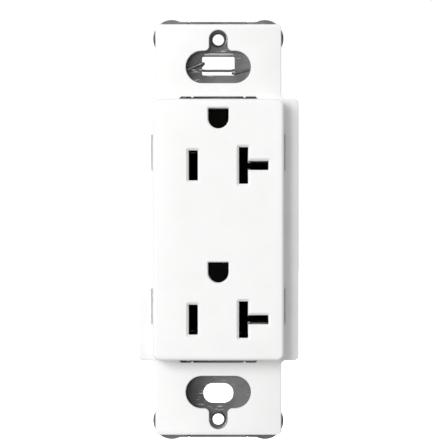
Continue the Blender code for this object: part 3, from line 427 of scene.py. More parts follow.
class Form:
    """A solid that is shaped by bmesh operators and then made an object."""

    def __init__(self) -> None:
        """Starts with nothing in it."""
        self.bm = bmesh.new()

    @classmethod
    def plate(cls, corners: Sequence[Corner], depth: Span, axis: Axis = Axis.Y, segments: int = 8) -> Form:
        """A flat plate whose corners are rounded by a vertex bevel.

        Args:
            corners: Each corner's two coordinates and its radius, in order round the outline. The
                coordinates are (X, Z) for a plate across Y, (Y, Z) across X and (X, Y) across Z.
            depth: Where the plate starts and ends along the axis.
            axis: The direction of its thickness.
            segments: How many flats make up a large corner.

        Returns:
            The plate.
        """
        form = cls()
        low, high = sorted(depth)
        verts = [form.bm.verts.new(cls._placed(across, up, low, axis)) for across, up, _ in corners]
        form.bm.faces.new(verts)
        for index, vert in enumerate(verts):
            radius = corners[index][2]
            if radius <= 0:
                continue
            here = Vector(corners[index][:2])
            before = (here - Vector(corners[index - 1][:2])).normalized()
            after = (Vector(corners[(index + 1) % len(corners)][:2]) - here).normalized()
            turn = before.angle(after)
            bmesh.ops.bevel(
                form.bm, geom=[vert], offset=radius * math.tan(turn / 2), offset_type="OFFSET",
                segments=max(3, segments if radius > LARGE_CORNER else segments // 2), profile=0.5,
                affect="VERTICES", clamp_overlap=True, material=-1,
            )
        form.extrude(list(form.bm.faces), cls._placed(0, 0, high - low, axis))
        return form

    @staticmethod
    def _placed(across: float, up: float, along: float, axis: Axis) -> Vector:
        """A point from its place on a plate and its place along the plate's axis.

        Args:
            across: Its place across the plate.
            up: Its place up the plate.
            along: Its place along the axis.
            axis: The axis that the thickness runs along.

        Returns:
            The point.
        """
        if axis is Axis.X:
            return Vector((along, across, up))
        if axis is Axis.Z:
            return Vector((across, up, along))
        return Vector((across, along, up))

    @classmethod
    def box(cls, x: Span, y: Span, z: Span) -> Form:
        """A box from its range along each axis.

        Args:
            x: Its ends along X, in either order.
            y: Its ends along Y.
            z: Its ends along Z.

        Returns:
            The box.
        """
        form = cls()
        sides = [sorted(side) for side in (x, y, z)]
        centre = Vector([(low + high) / 2 for low, high in sides])
        size = [high - low for low, high in sides]
        place = Matrix.Translation(centre) @ Matrix.Diagonal((*size, 1.0))
        bmesh.ops.create_cube(form.bm, size=1.0, matrix=place)
        return form

    @classmethod
    def turned(cls, profile: Sequence[Point], centre: Sequence[float], axis: Axis, steps: int = 48) -> Form:
        """A turned shape, made by spinning a profile round an axis.

        Args:
            profile: (radius, distance along the axis) points, from end to end.
            centre: The point on the axis that distances are counted from.
            axis: The direction of the axis.
            steps: How many flats go round.

        Returns:
            The shape.
        """
        form = cls()
        along = {"X": Vector((1, 0, 0)), "Y": Vector((0, 1, 0)), "Z": Vector((0, 0, 1))}[axis.value]
        out = Vector((0, 0, 1)) if axis is not Axis.Z else Vector((1, 0, 0))
        middle = Vector(centre)
        verts = [form.bm.verts.new(middle + out * radius + along * distance) for radius, distance in profile]
        edges = [form.bm.edges.new(pair) for pair in zip(verts, verts[1:])]
        bmesh.ops.spin(
            form.bm, geom=verts + edges, cent=middle, axis=along, angle=math.tau, steps=steps,
            use_merge=True, use_normal_flip=False, use_duplicate=False,
        )
        bmesh.ops.remove_doubles(form.bm, verts=form.bm.verts, dist=MERGE)
        return form

    @classmethod
    def disc(cls, radius: float, span: Span, centre: Point, axis: Axis, steps: int = 64) -> Form:
        """A round bar or washer blank.

        Args:
            radius: Its radius.
            span: Where it starts and ends along the axis.
            centre: Its middle across the axis, in the order that plate takes.
            axis: The direction of the axis.
            steps: How many flats go round.

        Returns:
            The disc.
        """
        form = cls()
        low, high = sorted(span)
        square = math.pi / 2
        turns = {
            Axis.X: Matrix.Rotation(square, 4, "Y"), Axis.Y: Matrix.Rotation(square, 4, "X"), Axis.Z: Matrix(),
        }
        place = Matrix.Translation(cls._placed(*centre, (low + high) / 2, axis)) @ turns[axis]
        bmesh.ops.create_cone(
            form.bm, cap_ends=True, segments=steps, radius1=radius, radius2=radius, depth=high - low,
            matrix=place,
        )
        return form

    @classmethod
    def together(cls, forms: Iterable[Form]) -> Form:
        """Collects forms that don't touch each other, so that one Boolean does for all of them.

        Args:
            forms: The forms, which are used up.

        Returns:
            One form with all of their shells.
        """
        whole = cls()
        for form in forms:
            bmesh.ops.recalc_face_normals(form.bm, faces=form.bm.faces)
            mesh = bpy.data.meshes.new("gathered")
            form.bm.to_mesh(mesh)
            form.bm.free()
            whole.bm.from_mesh(mesh)
            bpy.data.meshes.remove(mesh)
        return whole

    def extrude(self, faces: list[bmesh.types.BMFace], by: Vector) -> None:
        """Pulls faces out into a solid.

        Args:
            faces: The faces.
            by: How far, and which way.
        """
        made = bmesh.ops.extrude_face_region(self.bm, geom=faces, use_keep_orig=True)
        moved = [item for item in made["geom"] if isinstance(item, bmesh.types.BMVert)]
        bmesh.ops.translate(self.bm, verts=moved, vec=by)
        bmesh.ops.recalc_face_normals(self.bm, faces=self.bm.faces)

    def soften(
        self, width: float, chosen: Iterable[bmesh.types.BMEdge] | None = None, segments: int = 3
    ) -> Form:
        """Rounds edges.

        Args:
            width: The rounding's width.
            chosen: The edges, or None for every edge that isn't already nearly flat.
            segments: How many flats the rounding has.

        Returns:
            This form.
        """
        edges = list(chosen) if chosen is not None else self.sharp_edges()
        bmesh.ops.bevel(
            self.bm, geom=edges, offset=width, offset_type="OFFSET", segments=segments, profile=0.5,
            affect="EDGES", clamp_overlap=True, material=-1,
        )
        return self

    def sharp_edges(self, angle: float = SMOOTH_ANGLE) -> list[bmesh.types.BMEdge]:
        """The edges whose two faces turn by more than an angle."""
        self.bm.normal_update()
        paired = (edge for edge in self.bm.edges if len(edge.link_faces) == 2)
        return [edge for edge in paired if edge.calc_face_angle() > angle]

    def rim(self, axis: Axis, level: float) -> list[bmesh.types.BMEdge]:
        """The sharp edges that lie in one plane across an axis."""
        index = "XYZ".index(axis.value)
        edges = self.sharp_edges()
        return [edge for edge in edges if all(abs(vert.co[index] - level) < SAME for vert in edge.verts)]

    def upright(self, axis: Axis) -> list[bmesh.types.BMEdge]:
        """The sharp edges that run along an axis.

        Args:
            axis: The axis.

        Returns:
            The edges.
        """
        index = "XYZ".index(axis.value)
        found = []
        for edge in self.sharp_edges():
            run = (edge.verts[1].co - edge.verts[0].co).normalized()
            if abs(run[index]) > NEARLY_ALONG:
                found.append(edge)
        return found

    def moved(self, by: Sequence[float]) -> Form:
        """Shifts the whole form."""
        bmesh.ops.translate(self.bm, verts=self.bm.verts, vec=Vector(by))
        return self

    def solid(self, name: str) -> bpy.types.Object:
        """Makes a plain object of the form, with its normals outwards.

        Args:
            name: The object's name.

        Returns:
            The object. The form is used up.
        """
        bmesh.ops.recalc_face_normals(self.bm, faces=self.bm.faces)
        if self.bm.calc_volume(signed=True) < 0:
            bmesh.ops.reverse_faces(self.bm, faces=self.bm.faces)
        mesh = bpy.data.meshes.new(name)
        self.bm.to_mesh(mesh)
        self.bm.free()
        made = bpy.data.objects.new(name, mesh)
        bpy.context.scene.collection.objects.link(made)
        return made


class Joinery:
    """Joins and cuts solids, and dresses the result as a finished piece."""

    @staticmethod
    def combine(target: bpy.types.Object, tools: Iterable[Form], operation: str) -> bpy.types.Object:
        """Applies one Boolean for each tool, and removes the tools.

        Args:
            target: The object that stays.
            tools: The forms that are joined to it or cut from it.
            operation: UNION or DIFFERENCE.

        Returns:
            The target, with its new mesh.
        """
        used = []
        for index, form in enumerate(tools):
            tool = form.solid(f"{target.name}_tool_{index}")
            modifier = target.modifiers.new(tool.name, "BOOLEAN")
            modifier.operation = operation
            modifier.solver = "EXACT"
            modifier.object = tool
            used.append(tool)
        bpy.context.view_layer.update()
        graph = bpy.context.evaluated_depsgraph_get()
        shaped = bpy.data.meshes.new_from_object(target.evaluated_get(graph))
        tidied = bmesh.new()
        tidied.from_mesh(shaped)
        bmesh.ops.remove_doubles(tidied, verts=tidied.verts, dist=JOIN)
        bmesh.ops.dissolve_degenerate(tidied, dist=JOIN, edges=tidied.edges)
        bmesh.ops.dissolve_limit(
            tidied, angle_limit=FLAT_ANGLE, use_dissolve_boundaries=False,
            verts=tidied.verts, edges=tidied.edges,
        )
        tidied.to_mesh(shaped)
        tidied.free()
        target.modifiers.clear()
        old, target.data = target.data, shaped
        bpy.data.meshes.remove(old)
        for tool in used:
            bpy.data.objects.remove(tool)
        return target

    @classmethod
    def join(cls, target: bpy.types.Object, *tools: Form) -> bpy.types.Object:
        """Joins forms to an object."""
        return cls.combine(target, tools, "UNION")

    @classmethod
    def cut(cls, target: bpy.types.Object, *tools: Form) -> bpy.types.Object:
        """Cuts forms from an object."""
        return cls.combine(target, tools, "DIFFERENCE")

    @staticmethod
    def soften(target: bpy.types.Object, width: float) -> bpy.types.Object:
        """Rounds a finished solid's sharp edges with a Bevel modifier.

        Args:
            target: The object.
            width: The rounding's width.

        Returns:
            The target.
        """
        modifier = target.modifiers.new("softened_edges", "BEVEL")
        modifier.width = width
        modifier.segments = 2
        modifier.limit_method = "ANGLE"
        modifier.angle_limit = SMOOTH_ANGLE
        modifier.use_clamp_overlap = False
        modifier.harden_normals = False
        return target

    @staticmethod
    def finish(target: bpy.types.Object, finish: Finish, body: str, node: str) -> bpy.types.Object:
        """Shades a piece, gives it its finish, and lets it ride in place of its frame node.

        Args:
            target: The piece.
            finish: Its finish.
            body: The body that it moves with.
            node: The frame node that it stands for.

        Returns:
            The piece.
        """
        target.data.materials.clear()
        target.data.materials.append(finish.material())
        target.data.shade_smooth()
        target.data.set_sharp_from_angle(angle=SMOOTH_ANGLE)
        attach(target, body)
        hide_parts(node)
        LOG.info("%s: %d faces", target.name, len(target.data.polygons))
        return target


# --- Front cover -------------------------------------------------------------------------------


@dataclass
class FrontCover:
    """The white moulding: raised face, shoulders, end flanges, skirt and latch arms."""

    shoulder: Point = (20.4 * MM, 33.25 * MM)
    shoulder_corner: float = 1.2 * MM
    flange: Point = (16.0 * MM, 52.2 * MM)
    flange_corner: float = 1.0 * MM
    flange_edge: float = 0.3 * MM
    face: Point = (16.55 * MM, 33.0 * MM)
    face_corner: float = 1.7 * MM
    face_edge: float = 0.85 * MM
    face_wall: float = 2.5 * MM
    side_wall: float = 2.0 * MM
    skirt_wall: float = 1.1 * MM
    skirt_inset: float = 0.1 * MM
    skirt_front: float = FLANGE_FRONT + 0.7 * MM
    room_back: float = 5.0 * MM
    boss_wall: float = 1.4 * MM
    keyhole_z: float = 41.35 * MM
    keyhole: Point = (8.3 * MM, 4.13 * MM)
    lobe: float = 2.35 * MM
    lobe_fillet: float = 1.2 * MM
    keyhole_chamfer: float = 0.15 * MM
    window: Point = (10.6 * MM, 33.85 * MM)
    overlap: float = 0.3 * MM
    window_tick_x: float = 6.65 * MM
    window_tick: float = 0.42 * MM
    slit_x: float = 17.05 * MM
    slit_z: Span = (15.0 * MM, 24.1 * MM)
    web_x: Span = (15.9 * MM, 17.3 * MM)
    web_y: Span = (-2.1 * MM, -1.65 * MM)
    sink_x: Span = (-1.2 * MM, 0.0)
    sink_depth: float = 0.09 * MM
    slot_width: float = 2.34 * MM
    hot_length: float = 7.6 * MM
    neutral_length: float = 9.26 * MM
    neutral_reach: float = 6.3 * MM
    slot_corner: float = 0.12 * MM
    ground_radius: float = 2.6 * MM
    blade_chamfer: float = 0.6 * MM
    ground_chamfer: float = 0.3 * MM
    latch_x: Span = (17.0 * MM, 18.2 * MM)
    latch_end: float = 9.0 * MM
    latch_hook: float = 0.6 * MM
    hook_length: float = 1.6 * MM
    strap_notch_x: float = 14.6 * MM
    strap_notch_z: Span = (30.0 * MM, 36.0 * MM)
    cutter_back: float = 3.0 * MM

    def build(self) -> bpy.types.Object:
        """Makes the cover and dresses it."""
        cover = self._base().solid("front_cover_moulding")
        Joinery.join(cover, self._face_block(), self._skirt(), *self._ground_bosses())
        Joinery.cut(cover, *self._hollows())
        Joinery.join(cover, *self._latch_arms())
        cutters = [self._keyhole(1), self._keyhole(-1), *self._windows(), *self._slits(), self._sink_line()]
        for row in BLADE_ROWS:
            cutters += [self._slot(self._hot_outline(row), self.blade_chamfer)]
            cutters += [self._slot(self._neutral_outline(row), self.blade_chamfer)]
        cutters += [self._slot(self._ground_outline(row), self.ground_chamfer) for row in GROUND_ROWS]
        Joinery.cut(cover, *cutters)
        Joinery.join(cover, *self._slit_floors())
        return Joinery.finish(cover, WHITE_PLASTIC, ROOT_BODY, "front_cover")

    def _base(self) -> Form:
        """Shoulders and flanges in one flat plate, with soft front edges."""
        half_x, half_z = self.shoulder
        flange_x, flange_z = self.flange
        corner, end = self.shoulder_corner, self.flange_corner
        quarter = [(flange_x, flange_z, end), (flange_x, half_z, corner), (half_x, half_z, corner)]
        right = quarter + [(x, -z, radius) for x, z, radius in reversed(quarter)]
        base = Form.plate(both_halves(right), (FLANGE_FRONT, FLANGE_BACK))
        return base.soften(self.flange_edge, base.rim(Axis.Y, FLANGE_FRONT), 3)

    def _face_block(self) -> Form:
        """The raised face, with a round front edge."""
        outline = rectangle((0.0, 0.0), self.face, self.face_corner)
        block = Form.plate(outline, (FACE_FRONT, FLANGE_BACK))
        return block.soften(self.face_edge, block.rim(Axis.Y, FACE_FRONT), 5)

    def _skirt(self) -> Form:
        """The outer wall that runs back from the shoulders, notched where the strap passes."""
        half_x, half_z = (half - self.skirt_inset for half in self.shoulder)
        outline = rectangle((0.0, 0.0), (half_x, half_z), self.shoulder_corner)
        return Form.plate(outline, (self.skirt_front, SKIRT_BACK))

    def _hollows(self) -> list[Form]:
        """What is cut from behind: the face's hollow, the room for the body and the strap's notches."""
        inner_x, inner_z = (half - self.side_wall for half in self.face)
        room_x, room_z = (half - self.skirt_wall for half in self.shoulder)
        face_back = FACE_FRONT + self.face_wall
        hollow = Form.box((-inner_x, inner_x), (face_back, self.room_back), (-inner_z, inner_z))
        pockets = Joinery.cut(hollow.solid("face_hollow"), *self._ground_bosses())
        hollow = Form()
        hollow.bm.from_mesh(pockets.data)
        bpy.data.objects.remove(pockets)
        depth = (FLANGE_BACK, self.room_back)
        room = Form.box((-room_x, room_x), depth, (-room_z, room_z))
        half, (low, high) = self.strap_notch_x, self.strap_notch_z
        return [hollow, room, *(Form.box((-half, half), depth, (side * low, side * high)) for side in SIDES)]

    def _ground_bosses(self) -> list[Form]:
        """The blocks round the ground holes behind the face."""
        half = self.ground_radius + self.boss_wall
        depth = (FACE_FRONT + self.face_wall / 2, FLANGE_BACK - self.overlap)
        top = self.face[1] - self.side_wall + CLEAR
        return [Form.box((-half, half), depth, (row - half, min(row + half, top))) for row in GROUND_ROWS]

    def _latch_arms(self) -> list[Form]:
        """Four snap arms with hooks that hold the rear body."""
        inner, outer = self.latch_x
        low, high = self.slit_z[0] + 0.15 * MM, self.slit_z[1] - 0.15 * MM
        root, tip = FLANGE_FRONT + 0.8 * MM, inner - self.latch_hook
        hook_front = self.latch_end - self.hook_length
        outline = [
            (inner, root, 0.0), (outer, root, 0.0), (outer, self.latch_end, 0.3 * MM),
            (inner, self.latch_end, 0.0), (tip, hook_front + 0.3 * MM, 0.0), (tip, hook_front, 0.0),
            (inner, hook_front, 0.0),
        ]
        return [
            Form.plate([(sx * x, y, radius) for x, y, radius in outline], (sz * low, sz * high), Axis.Z)
            for sx, sz in QUARTERS
        ]

    def _keyhole(self, side: int) -> Form:
        """The opening over a mounting slot, with its lobe round the plate-screw hole.

        Args:
            side: 1 for the upper one, -1 for the lower one.

        Returns:
            The cutter.
        """
        half_x, half_z = self.keyhole
        low, high = self.keyhole_z - half_z, self.keyhole_z + half_z
        round_end = half_z - 0.02 * MM
        right = [
            (self.lobe, PLATE_SCREW_Z + self.lobe, self.lobe - 0.02 * MM),
            (self.lobe, high, self.lobe_fillet),
            (half_x, high, round_end),
            (half_x, low, round_end),
        ]
        outline = both_halves([(x, side * z, radius) for x, z, radius in right])
        return self._flared(outline, FLANGE_FRONT, self.keyhole_chamfer, self.cutter_back)

    def _windows(self) -> list[Form]:
        """The narrow windows above and below the face, with two small ticks in their outer edge."""
        half, far = self.window
        near = self.face[1] - self.overlap
        slant, tick, nick = far - near, self.window_tick_x, self.window_tick
        right = [
            (half, near, 0.0), (half - slant, far, 0.0), (tick + nick, far, 0.0), (tick, far - nick, 0.0),
            (tick - nick, far, 0.0),
        ]
        depth = (FLANGE_FRONT - CLEAR, self.cutter_back)
        return [Form.plate([(x, side * z, 0.0) for x, z, _ in both_halves(right)], depth) for side in SIDES]

    def _sink_line(self) -> Form:
        """The shallow line that a core leaves on the upper flange, above the face."""
        z = (self.face[1] + 1.4 * MM, self.keyhole_z - self.keyhole[1] - 0.5 * MM)
        line = Form.box(self.sink_x, (FLANGE_FRONT - CLEAR, FLANGE_FRONT + self.sink_depth), z)
        return line.soften(0.05 * MM, line.upright(Axis.Z), 1)

    def _slits(self) -> list[Form]:
        """The slits beside the face that the latch hooks are moulded through."""
        inner, outer = self.face[0] - self.overlap, self.slit_x
        low, high = self.slit_z
        depth = (FLANGE_FRONT - CLEAR, CLEAR)
        return [Form.box((sx * inner, sx * outer), depth, (sz * low, sz * high)) for sx, sz in QUARTERS]

    def _slit_floors(self) -> list[Form]:
        """The thin webs that close the slits a little way in."""
        inner, outer = self.web_x
        low, high = (z + grow for z, grow in zip(self.slit_z, (-0.2 * MM, 0.2 * MM)))
        return [Form.box((sx * inner, sx * outer), self.web_y, (sz * low, sz * high)) for sx, sz in QUARTERS]

    def _hot_outline(self, row: float) -> list[Corner]:
        """The upright hot slot."""
        return rectangle((-BLADE_X, row), (self.slot_width / 2, self.hot_length / 2), self.slot_corner)

    def _neutral_outline(self, row: float) -> list[Corner]:
        """The T-shaped neutral slot.

        Args:
            row: The height of its outlet's blades.

        Returns:
            Its outline.
        """
        half, tall = self.slot_width / 2, self.neutral_length / 2
        small, inner = self.slot_corner, 0.0
        shape = [
            (-half, -tall, small), (-half, tall, small), (half, tall, small), (half, half, inner),
            (self.neutral_reach, half, small), (self.neutral_reach, -half, small), (half, -half, inner),
            (half, -tall, small),
        ]
        return [(BLADE_X + x, row + z, radius) for x, z, radius in shape]

    def _ground_outline(self, row: float) -> list[Corner]:
        """The ground hole, square above and round below.

        Args:
            row: The height of its middle.

        Returns:
            Its outline.
        """
        radius = self.ground_radius
        full = radius - 0.01 * MM
        return [
            (-radius, row + radius, 0.2 * MM), (radius, row + radius, 0.2 * MM),
            (radius, row - radius, full), (-radius, row - radius, full),
        ]

    def _slot(self, outline: list[Corner], chamfer: float) -> Form:
        """The cutter for one plug opening, with its chamfered mouth."""
        return self._flared(outline, FACE_FRONT, chamfer, CLEAR)

    @staticmethod
    def _flared(outline: list[Corner], front: float, chamfer: float, back: float) -> Form:
        """A cutter that is straight behind and opens out to a chamfer at the front.

        Args:
            outline: The opening's outline.
            front: The surface that it opens in.
            chamfer: The chamfer's width and depth.
            back: Where the cutter ends.

        Returns:
            The cutter.
        """
        cutter = Form.plate(outline, (front + chamfer, back))
        level = front + chamfer
        caps = [face for face in cutter.bm.faces if all(abs(vert.co.y - level) < SAME for vert in face.verts)]
        for size, depth in ((chamfer, -chamfer), (0.0, -CLEAR)):
            made = bmesh.ops.extrude_face_region(cutter.bm, geom=caps)
            bmesh.ops.delete(cutter.bm, geom=caps, context="FACES_ONLY")
            moved = [item for item in made["geom"] if isinstance(item, bmesh.types.BMVert)]
            caps = [item for item in made["geom"] if isinstance(item, bmesh.types.BMFace)]
            bmesh.ops.translate(cutter.bm, verts=moved, vec=Vector((0, depth, 0)))
            if size:
                FrontCover._grow(caps[0], size)
        bmesh.ops.dissolve_degenerate(cutter.bm, dist=MERGE, edges=cutter.bm.edges)
        return cutter

    @staticmethod
    def _grow(face: bmesh.types.BMFace, by: float) -> None:
        """Moves each corner of a face outwards, so that its sides all move by the same distance.

        Args:
            face: The face.
            by: The distance.
        """
        face.normal_update()
        shifts = []
        for loop in face.loops:
            here = loop.vert.co
            out_ahead = (loop.link_loop_next.vert.co - here).normalized().cross(face.normal)
            out_behind = (here - loop.link_loop_prev.vert.co).normalized().cross(face.normal)
            middle = (out_ahead + out_behind).normalized()
            shifts.append((loop.vert, middle * (by / max(middle.dot(out_ahead), MITRE_LIMIT))))
        for vert, shift in shifts:
            vert.co += shift


# --- Mounting strap ----------------------------------------------------------------------------


@dataclass
class MountingStrap:
    """The steel yoke: end plates with break-off ears, a spine, threaded holes and a ground tab."""

    half_width: float = 14.2 * MM
    end: float = 52.9 * MM
    upper_bottom: float = 23.5 * MM
    lower_top: float = -30.0 * MM
    spine: float = 3.0 * MM
    fillet: float = 1.0 * MM
    end_corner: float = 0.4 * MM
    inner_corner: float = 0.8 * MM
    ear: Point = (11.85 * MM, 48.65 * MM)
    ear_radius: float = 4.75 * MM
    ear_hole: float = 1.9 * MM
    score_x: float = 7.5 * MM
    score: Point = (0.35 * MM, 0.32 * MM)
    score_z: Span = (45.9 * MM, 54.0 * MM)
    notch: float = 0.3 * MM
    ring_radius: float = 5.2 * MM
    ground_hole: float = 3.4 * MM
    upper_slot: Point = (4.15 * MM, 2.4 * MM)
    lower_slot: Point = (3.8 * MM, 2.52 * MM)
    thread: Span = (1.45 * MM, 1.62 * MM)
    pitch: float = 0.79 * MM
    mouth: float = 2.1 * MM
    mouth_depth: float = 0.55 * MM
    collar: float = 2.4 * MM
    collar_back: float = 1.0 * MM
    tab_z: Span = (34.4 * MM, 42.4 * MM)
    tab_x: Span = (9.7 * MM, 10.95 * MM)
    tab_back: float = 10.5 * MM
    tab_inset: float = 0.01 * MM
    tab_corner: float = 1.0 * MM
    lip_x: Span = (-3.6 * MM, 3.9 * MM)
    lip_z: Span = (MOUNTING_SLOT_Z + 2.62 * MM, MOUNTING_SLOT_Z + 3.4 * MM)
    lip_rise: float = 0.22 * MM
    edge: float = 0.07 * MM

    def build(self) -> bpy.types.Object:
        """Makes the strap and dresses it."""
        strap = self._blank().solid("mounting_strap_steel")
        Joinery.join(strap, *self._ears(), self._ring())
        Joinery.cut(strap, Form.together([*self._holes(), self._tab_notch()]))
        Joinery.cut(strap, Form.together(self._scores()), Form.together(self._end_notches()))
        Joinery.join(strap, self._tab(), *self._collars(), self._lip())
        Joinery.cut(strap, self._tab_hole(), *self._threads())
        Joinery.soften(strap, self.edge)
        return Joinery.finish(strap, STEEL, ROOT_BODY, "mounting_strap")

    def _blank(self) -> Form:
        """The flat outline without its ears."""
        side, spine = self.half_width, self.spine
        right = [
            (side, self.end, self.end_corner), (side, self.upper_bottom, self.inner_corner),
            (spine, self.upper_bottom, self.fillet), (spine, self.lower_top, self.fillet),
            (side, self.lower_top, self.inner_corner), (side, -self.end, self.end_corner),
        ]
        return Form.plate(both_halves(right), (STRAP_FRONT, 0.0))

    def _ears(self) -> list[Form]:
        """The round washers that bear on the wall."""
        (x, z), depth = self.ear, (STRAP_FRONT, 0.0)
        return [Form.disc(self.ear_radius, depth, (sx * x, sz * z), Axis.Y) for sx, sz in QUARTERS]

    def _ring(self) -> Form:
        """The wide stretch of the spine round the lower ground hole."""
        return Form.disc(self.ring_radius, (STRAP_FRONT, 0.0), (0.0, GROUND_ROWS[1]), Axis.Y)

    def _holes(self) -> list[Form]:
        """Mounting slots, ear holes, ground holes and rivet holes."""
        through = (STRAP_FRONT - CLEAR, CLEAR)
        x, z = self.ear
        slots = ((1, self.upper_slot, self.end_corner), (-1, self.lower_slot, self.lower_slot[1] - 0.1 * MM))
        holes = []
        for side, half, corner in slots:
            holes.append(Form.plate(rectangle((0.0, side * MOUNTING_SLOT_Z), half, corner), through))
            holes += [Form.disc(self.ear_hole, through, (sx * x, side * z), Axis.Y, 32) for sx in SIDES]
        holes += [Form.disc(self.ground_hole, through, (0.0, row), Axis.Y) for row in GROUND_ROWS]
        holes += [Form.disc(RIVET_HOLE, through, (0.0, row), Axis.Y, 24) for row in RIVET_ROWS]
        return holes

    def _scores(self) -> list[Form]:
        """V-shaped grooves, on both faces, that the ears snap off along."""
        half, deep = self.score
        start, end = self.score_z
        grooves = []
        for face, inward in ((STRAP_FRONT, 1), (0.0, -1)):
            for sx, sz in QUARTERS:
                x, mouth = sx * self.score_x, face - inward * 0.05 * MM
                outline = [(x - half, mouth, 0.0), (x + half, mouth, 0.0), (x, face + inward * deep, 0.0)]
                grooves.append(Form.plate(outline, (sz * start, sz * end), Axis.Z))
        return grooves

    def _end_notches(self) -> list[Form]:
        """The small notches in the ends that the score grooves start from."""
        size, notches = self.notch, []
        for sx, sz in QUARTERS:
            x, end = sx * self.score_x, sz * (self.end + 0.1 * MM)
            outline = [(x - size, end, 0.0), (x + size, end, 0.0), (x, end - sz * size, 0.0)]
            notches.append(Form.plate(outline, (STRAP_FRONT - CLEAR, CLEAR)))
        return notches

    def _tab_notch(self) -> Form:
        """The opening left in the plate where the ground tab is bent back."""
        return Form.box((self.tab_x[0] - 0.4 * MM, 16 * MM), (STRAP_FRONT - CLEAR, CLEAR), self.tab_z)

    def _tab(self) -> Form:
        """The ground tab, with its round bend and soft outer corners."""
        inner, outer = self.tab_x
        low, high = self.tab_z
        root = inner - 1.4 * MM
        front, back = STRAP_FRONT + self.tab_inset, -self.tab_inset
        profile = [
            (root, front, 0.0), (outer, front, 1.6 * MM), (outer, self.tab_back, 0.0),
            (inner, self.tab_back, 0.0), (inner, back, 0.4 * MM), (root, back, 0.0),
        ]
        tab = Form.plate(profile, (low + 0.3 * MM, high - 0.3 * MM), Axis.Z)
        edges = tab.upright(Axis.X)
        ends = [edge for edge in edges if min(vert.co.y for vert in edge.verts) > self.tab_back - SAME]
        return tab.soften(self.tab_corner, ends, 5)

    def _tab_hole(self) -> Form:
        """The tapped hole for the ground screw."""
        span = (self.tab_x[0] - CLEAR, self.tab_x[1] + CLEAR)
        return Form.disc(SCREW_HOLE - 0.1 * MM, span, (GROUND_SCREW_Y, GROUND_SCREW_Z), Axis.X, 36)

    def _collars(self) -> list[Form]:
        """The drawn necks behind the plate-screw holes."""
        neck, back, sunk = self.collar, self.collar_back, STRAP_FRONT / 2
        foot, rim = neck + 0.35 * MM, 0.2 * MM
        profile = [
            (0.0, sunk), (foot, sunk), (foot, 0.0), (neck + 0.1 * MM, 0.1 * MM), (neck, 0.35 * MM),
            (neck, back - rim), (neck - rim, back), (0.0, back),
        ]
        return [Form.turned(profile, (0, 0, side * PLATE_SCREW_Z), Axis.Y, 36) for side in SIDES]

    def _threads(self) -> list[Form]:
        """The plate-screw holes: a coned mouth, then the thread's ridges."""
        crest, root = self.thread
        start, end, pitch = STRAP_FRONT - CLEAR, self.collar_back + CLEAR, self.pitch
        depth = STRAP_FRONT + self.mouth_depth
        profile = [(0.0, start), (self.mouth, start), (self.mouth, STRAP_FRONT), (crest, depth)]
        while depth + pitch < self.collar_back:
            profile += [(root, depth + pitch * 0.45), (root, depth + pitch * 0.55), (crest, depth + pitch)]
            depth += pitch
        profile += [(crest, end), (0.0, end)]
        return [Form.turned(profile, (0, 0, side * PLATE_SCREW_Z), Axis.Y, 36) for side in SIDES]

    def _lip(self) -> Form:
        """The coined lip above the upper slot, which stiffens it."""
        foot = STRAP_FRONT + 0.2 * MM
        crest = STRAP_FRONT - self.lip_rise
        base, top = self.lip_z
        profile = [
            (foot, base, 0.0), (crest, base + 0.05 * MM, 0.08 * MM), (STRAP_FRONT - 0.02 * MM, top, 0.0),
            (foot, top, 0.0),
        ]
        return Form.plate(profile, self.lip_x, Axis.X)


# --- Grounding clip ----------------------------------------------------------------------------


